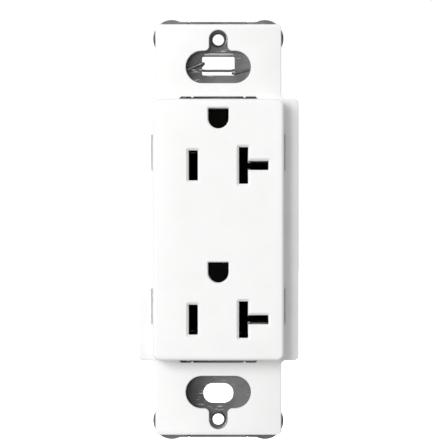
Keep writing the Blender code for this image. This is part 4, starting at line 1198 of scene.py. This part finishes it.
@dataclass
class GroundingClip:
    """The spring wire that grips the upper mounting screw."""

    radius: float = 0.3 * MM
    slot_half: float = 4.15 * MM

    def build(self) -> bpy.types.Object:
        """Makes the wire as a round tube along its bends, and dresses it."""
        curve = bpy.data.curves.new("grounding_clip_line", "CURVE")
        curve.dimensions = "3D"
        curve.bevel_depth = self.radius
        curve.bevel_resolution = 4
        curve.resolution_u = 5
        curve.use_fill_caps = True
        spline = curve.splines.new("BEZIER")
        route = self._route()
        spline.bezier_points.add(len(route) - 1)
        for knot, place in zip(spline.bezier_points, route):
            knot.co = place
            knot.handle_left_type = knot.handle_right_type = "AUTO"
        line = bpy.data.objects.new("grounding_clip_line", curve)
        bpy.context.scene.collection.objects.link(line)
        bpy.context.view_layer.update()
        tube = bpy.data.meshes.new_from_object(line.evaluated_get(bpy.context.evaluated_depsgraph_get()))
        bpy.data.objects.remove(line)
        form = Form()
        form.bm.from_mesh(tube)
        bpy.data.meshes.remove(tube)
        bmesh.ops.remove_doubles(form.bm, verts=form.bm.verts, dist=MERGE)
        wire = form.solid("grounding_clip_spring")
        return Joinery.finish(wire, BRONZE_WIRE, ROOT_BODY, "grounding_clip_wire")

    def _route(self) -> list[Corner]:
        """The wire's bends: a leg in front, a hook through the slot, the crossing behind, and back."""
        front = STRAP_FRONT - self.radius - 0.15 * MM
        back = self.radius + 0.2 * MM
        edge = self.slot_half - self.radius - 0.14 * MM
        steps = [
            (-7.7 * MM, front, 40.7), (-6.2 * MM, front, 41.4), (-4.9 * MM, front, 42.0),
            (-edge - 0.35 * MM, front - 0.05 * MM, 42.25), (-edge - 0.05 * MM, front + 0.2 * MM, 42.35),
            (-edge, STRAP_FRONT, 42.35), (-edge, 0.0, 42.3), (-edge - 0.1 * MM, back - 0.15 * MM, 42.15),
            (-edge - 0.5 * MM, back, 41.8), (-edge - 0.75 * MM, back, 41.2), (-edge - 0.45 * MM, back, 40.7),
            *((x * MM, back, 40.56) for x in (-3.2, -1.0, 1.0, 3.2)),
            (edge + 0.5 * MM, back, 40.7), (edge + 0.95 * MM, back, 40.5), (edge + 0.85 * MM, back, 40.15),
            (edge + 0.4 * MM, back, 39.9), (edge + 0.1 * MM, back - 0.15 * MM, 39.85), (edge, 0.0, 39.82),
            (edge, STRAP_FRONT, 39.82), (edge + 0.05 * MM, front + 0.2 * MM, 39.84),
            (edge + 0.35 * MM, front - 0.05 * MM, 39.87), (4.9 * MM, front, 40.0), (6.2 * MM, front, 40.35),
            (7.8 * MM, front, 40.8),
        ]
        return [(x, y, z * MM) for x, y, z in steps]


# --- Rear body ---------------------------------------------------------------------------------


@dataclass
class RearBody:
    """The dark moulded base that holds the contacts, terminals and wire holes."""

    half: Point = (18.9 * MM, 31.75 * MM)
    corner: float = 1.5 * MM
    back_edge: float = 1.0 * MM
    tower_front: float = -6.2 * MM
    tower_x: tuple[float, float, float] = (3.5 * MM, 10.0 * MM, 14.2 * MM)
    tower_half: float = 6.1 * MM
    cavity_x: tuple[float, float, float] = (4.4 * MM, 9.1 * MM, 13.4 * MM)
    cavity_half: float = 4.9 * MM
    cavity_back: float = 13.5 * MM
    ground_pocket: Point = (4.0 * MM, 3.4 * MM)
    ground_pocket_back: float = 13.0 * MM
    pocket_x: float = 13.5 * MM
    pocket_z: float = 13.3 * MM
    pocket_back: float = 19.0 * MM
    rib_z: Span = (2.4 * MM, 3.1 * MM)
    rib_x: float = 17.9 * MM
    wire_hole: float = 1.6 * MM
    wire_x: float = 16.3 * MM
    wire_offset: float = 3.4 * MM
    wire_front: float = 18.0 * MM
    arm_inner: float = 7.0 * MM
    outside: float = 21.0 * MM
    channel_half: float = 3.1 * MM
    channel_back: float = 2.3 * MM
    channel_z: Span = (-21.6 * MM, 32.5 * MM)
    latch_z: Span = (15.0 * MM, 24.1 * MM)
    groove_x: Span = (16.7 * MM, 20.0 * MM)
    groove_back: float = 9.6 * MM
    hook_x: Span = (16.1 * MM, 17.5 * MM)
    hook_y: Span = (7.1 * MM, 9.3 * MM)
    well_x: Span = (9.5 * MM, 14.9 * MM)
    gauge: Point = (5.0 * MM, 1.1 * MM)
    panel_half: float = 9.5 * MM
    panel_z: Span = (5.0 * MM, 19.0 * MM)
    mark: Point = (12.0 * MM, 26.5 * MM)
    mark_radius: float = 1.9 * MM
    release_x: Span = (12.1 * MM, 13.3 * MM)
    release_half: float = 1.6 * MM

    def build(self) -> bpy.types.Object:
        """Makes the body and dresses it."""
        body = self._block().solid("rear_body_moulding")
        Joinery.join(body, *self._towers())
        Joinery.cut(body, *self._cavities(), *self._arm_channels(), *self._pockets())
        Joinery.join(body, *self._ribs())
        grooves = [self._strip_channel(), *self._latch_grooves()]
        Joinery.cut(body, *grooves, *self._screw_wells(), *self._wire_holes())
        Joinery.cut(body, *self._back_details())
        return Joinery.finish(body, DARK_PLASTIC, ROOT_BODY, "rear_body")

    def _block(self) -> Form:
        """The block, rounded at its back edges."""
        block = Form.plate(rectangle((0.0, 0.0), self.half, self.corner), (BODY_FRONT, BODY_BACK))
        return block.soften(self.back_edge, block.rim(Axis.Y, BODY_BACK), 4)

    def _towers(self) -> list[Form]:
        """The towers round the blade contacts, which reach up behind the face."""
        inner, hot, neutral = self.tower_x
        depth = (self.tower_front, BODY_FRONT + 2 * MM)
        towers = []
        for row in BLADE_ROWS:
            z = (row - self.tower_half, row + self.tower_half)
            for x in ((-hot, -inner), (inner, neutral)):
                tower = Form.box(x, depth, z)
                towers.append(tower.soften(0.5 * MM, tower.upright(Axis.Y), 4))
        return towers

    def _cavities(self) -> list[Form]:
        """The pockets for the blade and ground contacts."""
        inner, hot, neutral = self.cavity_x
        front = self.tower_front - CLEAR
        half_x, half_z = self.ground_pocket
        forms = []
        for row in BLADE_ROWS:
            z = (row - self.cavity_half, row + self.cavity_half)
            forms.append(Form.box((-hot, -inner), (front, self.cavity_back), z))
            forms.append(Form.box((inner, neutral), (front, self.cavity_back), z))
        for row in GROUND_ROWS:
            z = (row - half_z, row + half_z)
            forms.append(Form.box((-half_x, half_x), (-CLEAR, self.ground_pocket_back), z))
        return forms

    def _arm_channels(self) -> list[Form]:
        """The ways for the buses' arms and legs, from the contacts to the terminals."""
        wall = TERMINAL_OUTER_X + 0.3 * MM
        reach = ARM_HALF + 0.6 * MM
        inner, upper, lower = self.pocket_z - CLEAR, ARM_ROWS[0] + CLEAR, ARM_ROWS[1] - CLEAR
        forms = []
        for side in SIDES:
            for row in ARM_ROWS:
                x, z = (side * wall, side * self.arm_inner), (row - reach, row + reach)
                forms.append(Form.box(x, (self.tower_front - CLEAR, self.cavity_back - 0.05 * MM), z))
            x = (side * (wall - 0.02 * MM), side * self.pocket_x)
            for legs in ((inner, upper), (lower, -inner)):
                forms.append(Form.box(x, (BODY_FRONT - CLEAR, JAW_BACK + 0.4 * MM), legs))
        return forms

    def _pockets(self) -> list[Form]:
        """The open pockets on both sides for the terminal screws."""
        depth, z = (-CLEAR, self.pocket_back), (-self.pocket_z, self.pocket_z)
        return [Form.box((side * self.pocket_x, side * self.outside), depth, z) for side in SIDES]

    def _ribs(self) -> list[Form]:
        """The walls between the two terminals of each side."""
        inner = TERMINAL_OUTER_X + 0.3 * MM
        low, high = self.rib_z
        depth = (PLATE_Y[0], self.pocket_back + CLEAR)
        return [Form.box((sx * inner, sx * self.rib_x), depth, (sz * low, sz * high)) for sx, sz in QUARTERS]

    def _strip_channel(self) -> Form:
        """The shallow channel that the ground strip lies in."""
        return Form.box((-self.channel_half, self.channel_half), (-CLEAR, self.channel_back), self.channel_z)

    def _latch_grooves(self) -> list[Form]:
        """The grooves that the cover's latch arms slide down, and the notches that their hooks catch in."""
        forms = []
        for sx, sz in QUARTERS:
            low, high = (sz * (z + grow) for z, grow in zip(self.latch_z, (-0.4 * MM, 0.4 * MM)))
            groove_x, hook_x = ((sx * near, sx * far) for near, far in (self.groove_x, self.hook_x))
            inset = sz * 0.05 * MM
            forms.append(Form.box(groove_x, (-CLEAR, self.groove_back), (low, high)))
            forms.append(Form.box(hook_x, self.hook_y, (low + inset, high - inset)))
        return forms

    def _screw_wells(self) -> list[Form]:
        """The round wells behind the terminals that the screws' tips turn in."""
        inner, outer = self.well_x
        return [
            Form.disc(SHANK + 0.5 * MM, (sx * inner, sx * outer), (SCREW_Y, sz * SCREW_Z), Axis.X, 24)
            for sx, sz in QUARTERS
        ]

    def _wire_holes(self) -> list[Form]:
        """The eight holes in the back that stripped wires are pushed into, with coned mouths."""
        narrow, wide = self.wire_hole, self.wire_hole + 0.45 * MM
        profile = [
            (0.0, self.wire_front), (narrow, self.wire_front), (narrow, BODY_BACK - 0.6 * MM),
            (wide, BODY_BACK), (wide, BODY_BACK + CLEAR), (0.0, BODY_BACK + CLEAR),
        ]
        return [
            Form.turned(profile, (sx * self.wire_x, 0, sz * SCREW_Z + offset), Axis.Y, 28)
            for sx, sz in QUARTERS
            for offset in (self.wire_offset, -self.wire_offset)
        ]

    def _back_details(self) -> list[Form]:
        """What is sunk in the back: a strip gauge, panels, ejector marks and release slits."""
        gauge_x, gauge_z = self.gauge
        outside = BODY_BACK + CLEAR
        gauge = Form.box((-gauge_x, gauge_x), (BODY_BACK - 0.5 * MM, outside), (-gauge_z, gauge_z))
        forms = [gauge.soften(1.0 * MM, gauge.upright(Axis.Y), 6)]
        for side in SIDES:
            near, far = self.panel_z
            x, z = (-self.panel_half, self.panel_half), (side * near, side * far)
            panel = Form.box(x, (BODY_BACK - 0.35 * MM, outside), z)
            forms.append(panel.soften(1.2 * MM, panel.upright(Axis.Y), 6))
            (mark_x, mark_z), spot = self.mark, (BODY_BACK - 0.2 * MM, outside)
            for x in (-mark_x, mark_x):
                forms.append(Form.disc(self.mark_radius, spot, (x, side * mark_z), Axis.Y, 32))
            near, far = self.release_x
            for sx, sz in QUARTERS:
                middle = sz * SCREW_Z + side * self.wire_offset
                z = (middle - self.release_half, middle + self.release_half)
                forms.append(Form.box((sx * near, sx * far), (BODY_BACK - 3 * MM, outside), z))
        return forms


# --- Contacts ----------------------------------------------------------------------------------


@dataclass
class ContactBus:
    """A folded brass strip: the side plate under two screws, and the two blade contacts."""

    side: int
    node: str
    finish: Finish
    level_leaves: bool
    thickness: float = 0.9 * MM
    tall: float = 13.0 * MM
    corner: float = 1.0 * MM
    leg_front: float = 10.2 * MM
    link_y: Span = (7.5 * MM, 13.5 * MM)
    link_z: float = 2.2 * MM
    leaf: float = 0.8 * MM
    half_gap: float = 0.7 * MM
    jaw_half: float = 4.0 * MM
    jaw_front: float = -1.5 * MM
    web: float = 4.2 * MM
    link_window: Point = (1.6 * MM, 0.9 * MM)
    edge: float = 0.09 * MM

    def build(self) -> bpy.types.Object:
        """Makes the bus and dresses it."""
        bus = self._plate().solid(f"{self.node}_strip")
        Joinery.cut(bus, *self._holes())
        Joinery.join(bus, *self._webs())
        Joinery.cut(bus, *self._openings())
        for row in BLADE_ROWS:
            Joinery.join(bus, *self._leaves(row))
        Joinery.soften(bus, self.edge)
        return Joinery.finish(bus, self.finish, ROOT_BODY, self.node)

    def _plate(self) -> Form:
        """The side plate, with its legs, its round corners and the link that can be broken off."""
        front, back = PLATE_Y
        low, high = self.link_y
        tall, gap, leg, corner = self.tall, self.link_z, self.leg_front, self.corner
        bend, small = 0.4 * MM, 0.3 * MM
        leg_top, leg_bottom = ARM_ROWS[0] + ARM_HALF, ARM_ROWS[1] - ARM_HALF
        outline = [
            (front, tall, corner), (leg, tall, bend), (leg, leg_top, small), (JAW_BACK, leg_top, 0.0),
            (JAW_BACK, tall - bend, bend), (back, tall - bend, corner), (back, gap + bend, bend),
            (high, gap, small), (high, -gap, small), (back, -gap - bend, bend), (back, bend - tall, corner),
            (JAW_BACK, bend - tall, bend), (JAW_BACK, leg_bottom, 0.0), (leg, leg_bottom, small),
            (leg, -tall, bend), (front, -tall, corner), (front, -gap - bend, bend), (low, -gap, small),
            (low, gap, small), (front, gap + bend, bend),
        ]
        ends = (self.side * TERMINAL_OUTER_X, self.side * (TERMINAL_OUTER_X - self.thickness))
        return Form.plate(outline, ends, Axis.X)

    def _holes(self) -> list[Form]:
        """The screw holes and the small window in the link."""
        span = (self.side * (TERMINAL_OUTER_X - 2 * MM), self.side * (TERMINAL_OUTER_X + CLEAR))
        radius = SCREW_HOLE - 0.1 * MM
        holes = [Form.disc(radius, span, (SCREW_Y, row), Axis.X, 36) for row in (SCREW_Z, -SCREW_Z)]
        window = rectangle((sum(self.link_y) / 2, 0.0), self.link_window, 0.4 * MM)
        return [*holes, Form.plate(window, span, Axis.X)]

    def _webs(self) -> list[Form]:
        """The floors of the contacts and the arms that reach them from the legs."""
        back, front = JAW_BACK - 0.02 * MM, JAW_BACK - self.thickness
        inner = BLADE_X - self.half_gap - self.leaf - 0.3 * MM
        outer = TERMINAL_OUTER_X - self.thickness / 2
        forms = []
        for arm, row in zip(ARM_ROWS, BLADE_ROWS):
            half = self.jaw_half - 0.1 * MM
            x = (self.side * inner, self.side * (inner + self.web))
            web = Form.box(x, (front, back), (row - half, row + half))
            forms.append(web.soften(0.3 * MM, web.upright(Axis.Y), 3))
            half = ARM_HALF - 0.05 * MM
            x = (self.side * (inner + 2 * MM), self.side * outer)
            forms.append(Form.box(x, (front + 0.01 * MM, back - 0.01 * MM), (arm - half, arm + half)))
        return forms

    def _openings(self) -> list[Form]:
        """What is left open behind a blade's tip, in the floors and arms."""
        depth = (JAW_BACK - 2 * MM, JAW_BACK + CLEAR)
        half = self.half_gap + 0.3 * MM
        forms = []
        for row in BLADE_ROWS:
            x = (self.side * (BLADE_X - half), self.side * (BLADE_X + half))
            forms.append(Form.box(x, depth, (row - 3.5 * MM, row + 3.5 * MM)))
            if self.level_leaves:
                x = (self.side * BLADE_X, self.side * (BLADE_X + 6.4 * MM))
                forms.append(Form.box(x, depth, (row - 0.68 * MM, row + 0.68 * MM)))
        return forms

    def _leaves(self, row: float) -> list[Form]:
        """The springs that grip a blade: upright ones, and level ones for a T-shaped contact.

        Args:
            row: The height of the blade's middle.

        Returns:
            The leaves.
        """
        low, high = row - self.jaw_half, row + self.jaw_half
        if not self.level_leaves:
            return [self._upright_leaf(lean, (low, high)) for lean in SIDES]
        forms = [self._upright_leaf(-1, (low, high))]
        for level in SIDES:
            near = row + level * self.half_gap
            far = row + level * self.jaw_half
            forms.append(self._upright_leaf(1, (near, far)))
            forms.append(self._level_leaf(row, level))
        return forms

    def _upright_leaf(self, lean: int, rows: Span) -> Form:
        """One leaf, pinched near its mouth and flared at its lip.

        Args:
            lean: 1 for the leaf on the outer side of the blade, -1 for the inner one.
            rows: Its lowest and highest points.

        Returns:
            The leaf.
        """
        centre = self.side * BLADE_X
        away = self.side * lean
        steps = [
            (0.35 * MM, self.jaw_front, 0.0), (0.08 * MM, self.jaw_front + 1.4 * MM, 0.6 * MM),
            (0.0, self.jaw_front + 2.4 * MM, 0.8 * MM), (0.1 * MM, 4.5 * MM, 0.9 * MM),
            (0.35 * MM, 8 * MM, 0.9 * MM), (0.35 * MM, JAW_BACK - self.thickness / 2, 0.0),
        ]
        inner = [(centre + away * (self.half_gap + gap), y, radius) for gap, y, radius in steps]
        outer = [(x + away * self.leaf, y, radius) for x, y, radius in reversed(inner)]
        return Form.plate(inner + outer, rows, Axis.Z)

    def _level_leaf(self, row: float, level: int) -> Form:
        """One of the two leaves beside a level blade.

        Args:
            row: The height of the blade's middle.
            level: 1 for the leaf above it, -1 for the one below.

        Returns:
            The leaf.
        """
        inner_x = BLADE_X + self.half_gap + 0.4 * MM
        outer_x = BLADE_X + 6.3 * MM
        near = row + level * (self.half_gap + 0.01 * MM)
        far = row + level * (self.half_gap + self.leaf)
        front, back = self.jaw_front + 2 * MM, JAW_BACK - self.thickness / 2
        lip = level * 0.3 * MM
        profile = [
            (front, near + lip, 0.0), (front + 1.4 * MM, near, 0.8 * MM), (back, near, 0.0),
            (back, far, 0.0), (front + 1.4 * MM, far, 0.8 * MM), (front, far + lip, 0.0),
        ]
        return Form.plate(profile, (self.side * inner_x, self.side * outer_x), Axis.X)


@dataclass
class GroundStrip:
    """The brass strip behind the spine, with a pair of leaves for each ground pin."""

    front: float = 0.3 * MM
    back: float = 1.1 * MM
    half: float = 2.8 * MM
    wide: float = 3.6 * MM
    top: float = 31.2 * MM
    bottom: float = -21.2 * MM
    leaf: float = 0.8 * MM
    leaf_back: float = 11.0 * MM
    pinch: float = 2.1 * MM
    pin_hole: Point = (2.75 * MM, 2.8 * MM)
    edge: float = 0.09 * MM

    def build(self) -> bpy.types.Object:
        """Makes the strip and dresses it."""
        strip = self._blank().solid("ground_contact_brass")
        Joinery.cut(strip, *self._holes())
        Joinery.join(strip, *self._leaves())
        Joinery.soften(strip, self.edge)
        return Joinery.finish(strip, BRASS, ROOT_BODY, "ground_contact_strip")

    def _blank(self) -> Form:
        """The flat strip, wider where the contacts are."""
        upper, lower = GROUND_ROWS
        wide, half, reach, corner, bend = self.wide, self.half, 3.0 * MM, 0.6 * MM, 0.5 * MM
        right = [
            (wide, self.top, corner), (wide, upper - reach, bend), (half, upper - reach, bend),
            (half, lower + reach, bend), (wide, lower + reach, bend), (wide, lower - reach, bend),
            (half, lower - reach, bend), (half, self.bottom, corner),
        ]
        return Form.plate(both_halves(right), (self.front, self.back))

    def _holes(self) -> list[Form]:
        """The openings that the pins pass, and the rivet holes."""
        through = (self.front - CLEAR, self.back + CLEAR)
        holes = [Form.plate(rectangle((0.0, row), self.pin_hole, 0.5 * MM), through) for row in GROUND_ROWS]
        return holes + [Form.disc(RIVET_HOLE, through, (0.0, row), Axis.Y, 24) for row in RIVET_ROWS]

    def _leaves(self) -> list[Form]:
        """Two leaves at each row, folded back and pinched."""
        start = 2.77 * MM
        steps = [
            (start, 0.7 * MM, 0.0), (start, 2.6 * MM, 1.2 * MM), (self.pinch, 7.5 * MM, 1.6 * MM),
            (self.pinch + 0.5 * MM, self.leaf_back, 0.0),
        ]
        forms = []
        for side in SIDES:
            inner = [(side * x, y, radius) for x, y, radius in steps]
            outer = [(x + side * self.leaf, y, radius) for x, y, radius in reversed(inner)]
            for row in GROUND_ROWS:
                forms.append(Form.plate(inner + outer, (row - 2.3 * MM, row + 2.3 * MM), Axis.Z))
        return forms


@dataclass
class Rivet:
    """A round rivet through the spine and the ground strip, domed in front and upset behind."""

    node: str
    row: float
    head: float = 2.0 * MM
    rise: float = 0.7 * MM
    neck: float = 1.2 * MM

    def build(self) -> bpy.types.Object:
        """Spins the rivet and dresses it."""
        front, back = STRAP_FRONT - 0.1 * MM, 1.2 * MM
        dome = ((0.0, 1.0), (0.35, 0.96), (0.62, 0.8), (0.85, 0.5), (0.97, 0.18), (1.0, 0.0))
        upset = ((1.0, 0.0), (0.98, 0.35), (0.75, 0.9), (0.5, 1.0), (0.25, 0.6), (0.0, 0.5))
        profile = [(self.head * out, front - self.rise * up) for out, up in dome]
        profile += [(self.neck, front), (self.neck, back)]
        profile += [(self.head * out, back + self.rise * up) for out, up in upset]
        rivet = Form.turned(profile, (0, 0, self.row), Axis.Y, 40).solid(f"{self.node}_pin")
        return Joinery.finish(rivet, ZINC, ROOT_BODY, self.node)


# --- Terminals ---------------------------------------------------------------------------------


class Drive(Enum):
    """The kind of head that a terminal screw has."""

    BINDING = "binding"
    HEX = "hex"


@dataclass
class Terminal:
    """A terminal screw and the square clamp plate under its head."""

    label: str
    end: str
    side: int
    seat: float
    y: float
    z: float
    finish: Finish
    clamp_finish: Finish
    drive: Drive = Drive.BINDING
    plate: float = 1.2 * MM
    plate_half: float = 4.7 * MM
    plate_corner: float = 0.7 * MM
    channel_offset: float = 3.4 * MM
    channel_radius: float = 1.25 * MM
    channel_reach: float = 6.0 * MM
    tooth_pitch: float = 1.15 * MM
    tooth: Point = (0.32 * MM, 0.9 * MM)
    gap: float = 0.3 * MM
    head: float = 4.0 * MM
    head_height: float = 2.1 * MM
    shank_length: float = 6.2 * MM
    pitch: float = 0.8 * MM
    hexagon: float = 3.55 * MM
    edge: float = 0.07 * MM

    def build(self) -> list[bpy.types.Object]:
        """Makes the clamp plate and the screw and dresses them."""
        return [self._build_clamp(), self._build_screw()]

    def _named(self, piece: str) -> str:
        """The frame node's name for one of the two pieces."""
        return f"{self.label}_{piece}_{self.end}" if self.end else f"{self.label}_{piece}"

    def _along(self, *distances: float) -> Span:
        """Places along X, counted outwards from the terminal plate's face."""
        return tuple(self.side * (self.seat + distance) for distance in distances)

    def _build_clamp(self) -> bpy.types.Object:
        """The clamp plate: soft edges, a channel for each wire, and teeth across the channels."""
        node = self._named("clamp")
        inner, outer = self.gap, self.gap + self.plate
        middle, (tooth_half, tooth_reach) = (self.y, self.z), self.tooth
        outline = rectangle(middle, (self.plate_half, self.plate_half), self.plate_corner)
        form = Form.plate(outline, self._along(inner, outer), Axis.X)
        form.soften(0.22 * MM, form.rim(Axis.X, self._along(outer)[0]), 3)
        clamp = form.solid(f"{node}_pressing")
        cutters = [Form.disc(SCREW_HOLE, self._along(inner - CLEAR, outer + CLEAR), middle, Axis.X, 36)]
        wide, reach = self.channel_radius, self.channel_reach
        channel = [(0.0, -reach), (wide, -reach), (wide, reach), (0.0, reach)]
        for side_z in SIDES:
            row = self.z + side_z * self.channel_offset
            cutters.append(Form.turned(channel, (self._along(inner - 0.95 * MM)[0], self.y, row), Axis.Y, 32))
            for step in range(-3, 4):
                y = self.y + step * self.tooth_pitch
                base, tip = self._along(inner - 0.1 * MM, inner + 0.42 * MM)
                tooth = [(base, y - tooth_half, 0.0), (base, y + tooth_half, 0.0), (tip, y, 0.0)]
                cutters.append(Form.plate(tooth, (row - tooth_reach, row + tooth_reach), Axis.Z))
        Joinery.cut(clamp, *cutters)
        return Joinery.finish(clamp, self.clamp_finish, f"{node}_plate", node)

    def _build_screw(self) -> bpy.types.Object:
        """The screw: head, thread and driver recess."""
        node = self._named("screw")
        form = Form.turned(self._profile(), (self._along(0.0)[0], self.y, self.z), Axis.X, 48)
        screw = form.solid(f"{node}_turned")
        if self.drive is Drive.HEX:
            Joinery.join(screw, self._hexagon())
        Joinery.cut(screw, *self._recess())
        Joinery.soften(screw, self.edge)
        return Joinery.finish(screw, self.finish, node, node)

    def _profile(self) -> list[Point]:
        """The turned outline, from the tip along the thread to the middle of the head."""
        under = self.gap * 2 + self.plate
        tip = under - self.shank_length
        top = under + self.head_height
        root, crest, head, core = SHANK - 0.32 * MM, SHANK, self.head, 2.6 * MM
        points = [(0.0, tip), (root - 0.35 * MM, tip), (root, tip + 0.45 * MM)]
        place = tip + 0.45 * MM
        while place + self.pitch < under - 0.35 * MM:
            ring = ((crest, 0.42), (crest, 0.56), (root, 0.98))
            points += [(radius, place + self.pitch * share) for radius, share in ring]
            place += self.pitch
        points += [(root, under - 0.15 * MM), (root + 0.15 * MM, under)]
        if self.drive is Drive.HEX:
            points += [
                (head - 0.1 * MM, under), (head, under + 0.1 * MM), (head, under + 0.45 * MM),
                (head - 0.25 * MM, under + 0.6 * MM), (core, under + 0.66 * MM), (core, top - 0.5 * MM),
                (0.0, top - 0.5 * MM),
            ]
        else:
            points += [
                (head - 0.5 * MM, under), (head - 0.12 * MM, under + 0.12 * MM), (head, under + 0.45 * MM),
                (head, top - 1.0 * MM), (head - 0.12 * MM, top - 0.62 * MM),
                (head - 0.55 * MM, top - 0.3 * MM), (head - 1.4 * MM, top - 0.1 * MM), (0.0, top),
            ]
        return [(radius, self.side * distance) for radius, distance in points]

    def _hexagon(self) -> Form:
        """The hexagon on the washer of a ground screw, with its corners turned off."""
        under = self.gap * 2 + self.plate
        radius = self.hexagon
        corners = []
        for step in range(6):
            angle = math.tau * step / 6 + math.tau / 12
            corners.append((self.y + radius * math.cos(angle), self.z + radius * math.sin(angle), 0.12 * MM))
        top = under + self.head_height
        form = Form.plate(corners, self._along(under + 0.4 * MM, top), Axis.X)
        return form.soften(0.3 * MM, form.rim(Axis.X, self._along(top)[0]), 3)

    def _recess(self) -> list[Form]:
        """A slot across the head, with a cross in its middle on a binding head."""
        top = self.gap * 2 + self.plate + self.head_height
        depth = self._along(top - 1.1 * MM, top + CLEAR)
        slot_end = self.head + CLEAR if self.drive is Drive.BINDING else 2.9 * MM
        half = 0.55 * MM
        forms = [Form.box(depth, (self.y - slot_end, self.y + slot_end), (self.z - half, self.z + half))]
        if self.drive is Drive.BINDING:
            deep = self._along(top - 1.5 * MM, top + CLEAR)
            for reach_y, reach_z in ((2.3 * MM, 0.5 * MM), (0.5 * MM, 2.3 * MM)):
                y, z = (self.y - reach_y, self.y + reach_y), (self.z - reach_z, self.z + reach_z)
                bar = Form.box(deep, y, z)
                floor = [vert for vert in bar.bm.verts if abs(vert.co.x - deep[0]) < SAME]
                for vert in floor:
                    vert.co.y = self.y + (vert.co.y - self.y) * 0.6
                    vert.co.z = self.z + (vert.co.z - self.z) * 0.6
                forms.append(bar)
        return forms


# --- Studio ------------------------------------------------------------------------------------


WHITE = (1.0, 1.0, 1.0, 1.0)

# Each light's name, place, size and power in watts.
LIGHTS = (
    ("key_left", (-0.84, -1.36, 0.40), 1.0, 20.9),
    ("top_soft", (0.04, -0.84, 1.40), 1.0, 1.8),
    ("back_fill", (0.45, 0.70, 0.40), 0.6, 3.0),
)


@dataclass
class Studio:
    """Camera, soft lights and a pale floor."""

    distance: float = 650.0 * MM
    view_height: float = 112.13 * MM
    sensor: float = 36.0
    camera_x: float = -0.6 * MM
    camera_z: float = 2.43 * MM
    floor_z: float = -90.0 * MM
    surround: float = 0.475
    backdrop: float = 1.05

    def build(self) -> None:
        """Sets the scene up round the outlet."""
        self._camera()
        self._world()
        self._floor()
        for name, place, size, power in LIGHTS:
            self._light(name, place, size, power)
        bpy.context.scene.view_settings.view_transform = "Standard"

    def _camera(self) -> None:
        """A level camera, straight in front."""
        data = bpy.data.cameras.new("camera")
        data.sensor_width = self.sensor
        data.lens = self.sensor * self.distance / self.view_height
        camera = bpy.data.objects.new("camera", data)
        camera.location = (self.camera_x, STRAP_FRONT - self.distance, self.camera_z)
        camera.rotation_euler = (math.radians(90), 0, 0)
        bpy.context.scene.collection.objects.link(camera)
        bpy.context.scene.camera = camera

    def _world(self) -> None:
        """An even white surround, dimmer for the outlet than for the camera."""
        world = bpy.data.worlds.new("white_room")
        world.use_nodes = True
        tree = world.node_tree
        background = tree.nodes["Background"]
        background.inputs["Color"].default_value = WHITE
        background.inputs["Strength"].default_value = self.surround
        seen = tree.nodes.new("ShaderNodeBackground")
        seen.inputs["Color"].default_value = WHITE
        seen.inputs["Strength"].default_value = self.backdrop
        path = tree.nodes.new("ShaderNodeLightPath")
        mix = tree.nodes.new("ShaderNodeMixShader")
        tree.links.new(path.outputs["Is Camera Ray"], mix.inputs["Fac"])
        tree.links.new(background.outputs["Background"], mix.inputs[1])
        tree.links.new(seen.outputs["Background"], mix.inputs[2])
        tree.links.new(mix.outputs["Shader"], tree.nodes["World Output"].inputs["Surface"])
        bpy.context.scene.world = world

    def _floor(self) -> None:
        """A wide pale floor below the outlet."""
        form = Form()
        bmesh.ops.create_grid(form.bm, x_segments=1, y_segments=1, size=4.0)
        form.moved((0, 0, self.floor_z))
        mesh = bpy.data.meshes.new("floor")
        form.bm.to_mesh(mesh)
        form.bm.free()
        floor = bpy.data.objects.new("floor", mesh)
        bpy.context.scene.collection.objects.link(floor)
        material = bpy.data.materials.new("pale_floor")
        material.use_nodes = True
        shader = material.node_tree.nodes["Principled BSDF"]
        shader.inputs["Base Color"].default_value = (0.9, 0.9, 0.9, 1.0)
        shader.inputs["Roughness"].default_value = 0.9
        shader.inputs["Emission Color"].default_value = WHITE
        shader.inputs["Emission Strength"].default_value = 1.0
        mesh.materials.append(material)
        floor.visible_diffuse = False
        floor.visible_glossy = False

    @staticmethod
    def _light(name: str, place: tuple[float, float, float], size: float, power: float) -> None:
        """A square soft light that faces the outlet.

        Args:
            name: The light's name.
            place: Where it stands.
            size: Its side.
            power: Its power in watts.
        """
        data = bpy.data.lights.new(name, "AREA")
        data.size = size
        data.energy = power
        light = bpy.data.objects.new(name, data)
        light.location = place
        light.rotation_euler = (-Vector(place)).to_track_quat("-Z", "Y").to_euler()
        bpy.context.scene.collection.objects.link(light)


def main() -> None:
    """Builds every piece in order, then the studio."""
    logging.basicConfig(level=logging.INFO, format="%(message)s")
    FrontCover().build()
    MountingStrap().build()
    GroundingClip().build()
    RearBody().build()
    ContactBus(-1, "hot_contact_bus", BRASS, level_leaves=False).build()
    ContactBus(1, "neutral_contact_bus", NICKEL, level_leaves=True).build()
    GroundStrip().build()
    for name, row in zip(("upper", "middle", "lower"), RIVET_ROWS):
        Rivet(f"ground_rivet_{name}", row).build()
    for label, side, finish in (("hot", -1, BRASS), ("neutral", 1, NICKEL)):
        for end, row in (("upper", SCREW_Z), ("lower", -SCREW_Z)):
            Terminal(label, end, side, TERMINAL_OUTER_X, SCREW_Y, row, finish, finish).build()
    Terminal("ground", "", 1, TAB_FACE_X, GROUND_SCREW_Y, GROUND_SCREW_Z, GREEN_ZINC, ZINC, Drive.HEX).build()
    Studio().build()


if __name__ == "__main__":
    main()
